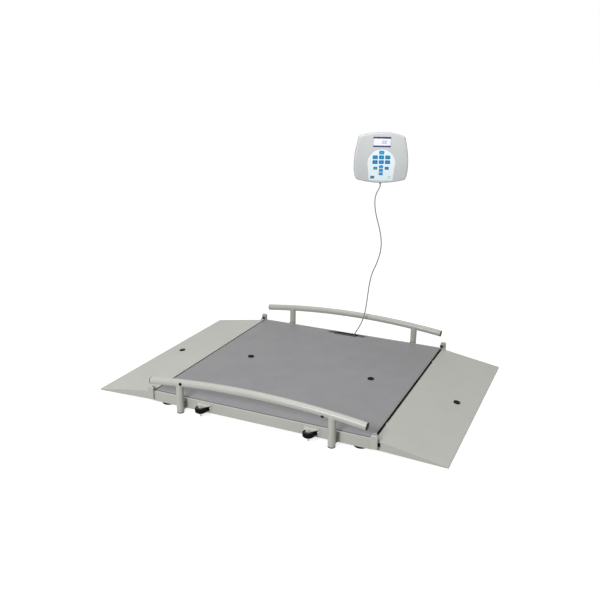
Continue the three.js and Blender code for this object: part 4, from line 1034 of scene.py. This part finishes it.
BIG_KEY, SMALL_KEY = (24, 17), (19, 13.43)
KEYS = [("top", 0, 25.2, *BIG_KEY)]
KEYS += [(f"{row}_{column}", x, z, *BIG_KEY) for row, z in (("upper", 2.3), ("middle", -20.6))
         for column, x in (("left", -30.2), ("centre", 0), ("right", 30.2))]
KEYS += [(name, x, z, *SMALL_KEY) for name, x, z in (
    ("lower_first", 0, -43.185), ("lower_second", 0, -60.117), ("lower_third", 0, -77.049),
    ("side_left", -27.8, -49.991), ("side_right", 27.8, -49.991))]


def film(bm):
    """The keypad's sheet, with a hole for each key."""
    holes = [rectangle(width + 0.6, height + 0.6, 2.5, x, z, 5) for _, x, z, width, height in KEYS]
    plate(bm, pad_outline(), holes, 0, 2.7, facing, 0.25)


def make_display():
    for side, build in (("front", front_shell), ("back", back_shell)):
        piece(f"display_{side}_shell", build, "housing_plastic", HEAD, node=f"head_{side}_shell",
              slot="grey_plastic", smooth=30)
    piece("display_screen", screen, "screen_white screen_navy screen_pale", HEAD, node="display_window",
          slot="display_glass")
    piece("display_figures", figures, "screen_grey", HEAD, slot="display_glass")
    piece("keypad_sheet", film, "keypad_film", HEAD, node="keypad_panel", slot="pad_film")
    for name, width, x, label in (("left", 19, -41, "film_teal"), ("right", 15.5, 41, "film_pale")):
        patch = rectangle(width, 13, 1.2, x, -94)
        piece(f"film_patch_{name}", lambda bm: skin(bm, patch, [(0.1, -0.06), (0, 0), (0, 0.5)], facing), label, HEAD,
              slot="pad_film")
    dressed("head_board", "green_laminate", 0.2, "board_laminate")
    dressed("wall_plate", "zinc_plate", 0.6, "zinc_steel")
    screws("display_back_screws", [(HEAD @ Vector((a * 95, 44.2, b * 70)), HEAD.to_3x3() @ Vector((0, 1, 0)), 0.8)
                                   for a in (-1, 1) for b in (-1, 1)])


def make_keys():
    """Keys whose faces round over at their edges, each with two printed bars."""
    rise = size("key_crown")
    layers = [(0, 1.5), (0, -1.1 + rise), (rise * 0.16, -1.1 + rise * 0.45), (rise * 0.6, -1.1 + rise * 0.1),
              (rise * 1.4, -1.1), (rise * 2.2, -1.08)]
    for name, x, z, width, height in KEYS:
        row = name if name.startswith("side") else name.split("_")[0]

        def cap(bm):
            skin(bm, rectangle(width, height, 2.2, x, z), layers, facing)
            for level, share in ((1.4, 0.27), (-1.5, 0.27 * 0.62)):
                skin(bm, rectangle(width * share, 0.9, 0.3, x, z + level, 2), [(0, -1.13), (0, -1.0)], facing, 1)

        piece(f"key_{name}_cap", cap, f"key_{row}_rubber key_print", HEAD, body=f"key_{name}",
              node=f"key_{name}", slot="key_teal" if name == "side_left" else "key_blue")


# Stage

def make_camera():
    """The photograph's camera, as its perspective was solved."""
    yaw, pitch, roll = 0.42039, 0.304638, 0.014112
    focal, width = 728.067, 600  # in pixels
    lens = bpy.data.cameras.new("camera")
    lens.sensor_width = 36.0
    lens.lens = lens.sensor_width * focal / width
    lens.clip_end = 60.0
    lens.dof.use_dof = False
    camera = linked("camera", lens)
    camera.matrix_world = (at(1.25614, -2.92264, 1.38932) @ Matrix.Rotation(yaw, 4, "Z")
                           @ Matrix.Rotation(pi / 2 - pitch, 4, "X") @ Matrix.Rotation(roll, 4, "Z"))
    bpy.context.scene.camera = camera


def seen_directly(tree):
    """One where a ray comes from the camera, a gloss or a clear piece, else nothing."""
    rays = add(tree, "ShaderNodeLightPath").outputs
    sharp = arithmetic(tree, "MAXIMUM", rays["Is Camera Ray"], rays["Is Glossy Ray"])
    return arithmetic(tree, "MAXIMUM", sharp, rays["Is Transmission Ray"])


def floor_white():
    """White studio paper: matt, with a glow where it is seen that keeps it white; the glow is off under the platform,
    so the floor shows its shade there, and it fades out over a band round the platform, which reads as a painted soft
    shadow.
    """
    made = bpy.data.materials.new("floor_white")
    made.use_nodes = True
    tree = made.node_tree
    tree.nodes.clear()
    paper = first(tree, "ShaderNodeBsdfDiffuse", {"Color": (0.42, 0.42, 0.42, 1)})
    glow = first(tree, "ShaderNodeEmission", {"Color": (1, 1, 1, 1), "Strength": 0.82})
    both = first(tree, "ShaderNodeAddShader", {0: paper, 1: glow})
    place = add(tree, "ShaderNodeNewGeometry").outputs["Position"]
    shifted = first(tree, "ShaderNodeVectorMath", {0: place, 1: (0, -20 * MM, 0)}, operation="ADD")
    spread = first(tree, "ShaderNodeVectorMath", {0: shifted}, operation="ABSOLUTE")
    parts = add(tree, "ShaderNodeSeparateXYZ", {0: spread}).outputs
    beside, before = (span(tree, parts[axis], 0.0, 1.0, near * MM, far * MM)
                      for axis, (near, far) in enumerate(((525, 560), (508, 525))))
    lit = arithmetic(tree, "MULTIPLY", seen_directly(tree), arithmetic(tree, "MAXIMUM", beside, before))
    mixed = first(tree, "ShaderNodeMixShader", {0: lit, 1: paper, 2: both})
    add(tree, "ShaderNodeOutputMaterial", {"Surface": mixed})
    return made


def light(name, kind, place, way, level, **settings):
    """A lamp at a place in metres that shines along way; level is the share of full light that it gives."""
    made = bpy.data.lights.new(name, kind)
    reach = way.length_squared
    made.energy = level * {"SUN": pi, "AREA": pi ** 2 * reach, "SPOT": 4 * pi ** 2 * reach}[kind]
    for key, value in settings.items():
        setattr(made, key, value)
    turn = way.to_track_quat("-Z", "Y").to_matrix().to_4x4()
    linked(name, made).matrix_world = at(*place) @ turn


def make_stage():
    bm = bmesh.new()
    bmesh.ops.create_grid(bm, x_segments=8, y_segments=8, size=25)
    mesh = poured("studio_floor", bm)
    mesh.materials.append(floor_white())
    linked("studio_floor", mesh)
    light("overhead_lamp", "SUN", (0, 0, 0), Vector((0.2, -0.1, -1.0)), 0.35, angle=radians(32))
    box = Vector((-0.45, -3.9, 2.35))
    light("front_softbox", "AREA", box, -box, 0.49, size=1.0)
    lamp = Vector((0.6, -1.3, 2.3))
    light("display_spot", "SPOT", lamp, Vector((0.15, 0.5, 1.19)) - lamp, 0.6, spot_size=radians(20),
          spot_blend=1.0, shadow_soft_size=0.2)
    world = bpy.data.worlds.new("studio")
    world.use_nodes = True
    tree = world.node_tree
    tree.nodes.clear()
    level = span(tree, seen_directly(tree), 0.25, 1.0, 0.0, 1.0)
    add(tree, "ShaderNodeOutputWorld", {"Surface": first(tree, "ShaderNodeBackground", {
        "Color": (1, 1, 1, 1), "Strength": level})})
    bpy.context.scene.world = world
    bpy.context.scene.view_settings.view_transform = "Standard"


# Operators

class Steps:
    """Runs the steps of one group; a step that fails raises its error."""
    steps = ()

    def execute(self, context):
        for step in self.steps:
            step()
        return {"FINISHED"}


class SCALE_OT_cord(Steps, bpy.types.Operator):
    """Adds the camera, the cord and its strain reliefs"""
    bl_idname = "weigh_scale.cord"
    bl_label = "Cord"
    steps = (make_camera, make_cord, make_reliefs)


class SCALE_OT_frame(Steps, bpy.types.Operator):
    """Adds the painted channels and the hinge pins"""
    bl_idname = "weigh_scale.frame"
    bl_label = "Frame"
    steps = (make_frame,)


class SCALE_OT_deck(Steps, bpy.types.Operator):
    """Adds the deck with its mat, bumpers and hand grip"""
    bl_idname = "weigh_scale.deck"
    bl_label = "Deck"
    steps = (make_deck,)


class SCALE_OT_ramps(Steps, bpy.types.Operator):
    """Adds the two folding ramps"""
    bl_idname = "weigh_scale.ramps"
    bl_label = "Ramps"
    steps = (make_ramps,)


class SCALE_OT_rails(Steps, bpy.types.Operator):
    """Adds the arched rails with posts, plugs and caps"""
    bl_idname = "weigh_scale.rails"
    bl_label = "Side rails"
    steps = (make_rails,)


class SCALE_OT_wheels(Steps, bpy.types.Operator):
    """Adds the transport wheels in their brackets"""
    bl_idname = "weigh_scale.wheels"
    bl_label = "Wheels"
    steps = (make_wheels,)


class SCALE_OT_feet(Steps, bpy.types.Operator):
    """Adds the levelling feet on threaded stems"""
    bl_idname = "weigh_scale.feet"
    bl_label = "Feet"
    steps = (make_feet,)


class SCALE_OT_cells(Steps, bpy.types.Operator):
    """Adds the load cells and the summing box"""
    bl_idname = "weigh_scale.cells"
    bl_label = "Load cells"
    steps = (make_cells,)


class SCALE_OT_display(Steps, bpy.types.Operator):
    """Adds the display's housing, window, keypad film and wall plate"""
    bl_idname = "weigh_scale.display"
    bl_label = "Display"
    steps = (make_display,)


class SCALE_OT_keys(Steps, bpy.types.Operator):
    """Adds the keypad's keys"""
    bl_idname = "weigh_scale.keys"
    bl_label = "Keys"
    steps = (make_keys,)


class SCALE_OT_stage(Steps, bpy.types.Operator):
    """Adds the floor, the lamps and the background"""
    bl_idname = "weigh_scale.stage"
    bl_label = "Stage"
    steps = (make_stage,)


OPERATORS = [SCALE_OT_cord, SCALE_OT_frame, SCALE_OT_deck, SCALE_OT_ramps, SCALE_OT_rails, SCALE_OT_wheels,
             SCALE_OT_feet, SCALE_OT_cells, SCALE_OT_display, SCALE_OT_keys, SCALE_OT_stage]


class SCALE_PT_panel(bpy.types.Panel):
    """Lists the steps in the sidebar."""
    bl_label = "Wheelchair scale"
    bl_space_type = "VIEW_3D"
    bl_region_type = "UI"
    bl_category = "Scale"

    def draw(self, context):
        for made in OPERATORS:
            self.layout.operator(made.bl_idname)


CLASSES = [ScaleSizes, ScaleColours, *OPERATORS, SCALE_PT_panel]


def register():
    for made in CLASSES:
        bpy.utils.register_class(made)
    bpy.types.Scene.scale_sizes = PointerProperty(type=ScaleSizes)
    bpy.types.Scene.scale_colours = PointerProperty(type=ScaleColours)


def unregister():
    del bpy.types.Scene.scale_colours
    del bpy.types.Scene.scale_sizes
    for made in reversed(CLASSES):
        bpy.utils.unregister_class(made)


def main():
    register()
    for made in OPERATORS:
        group, name = made.bl_idname.split(".")
        getattr(getattr(bpy.ops, group), name)()


if __name__ == "__main__":
    main()
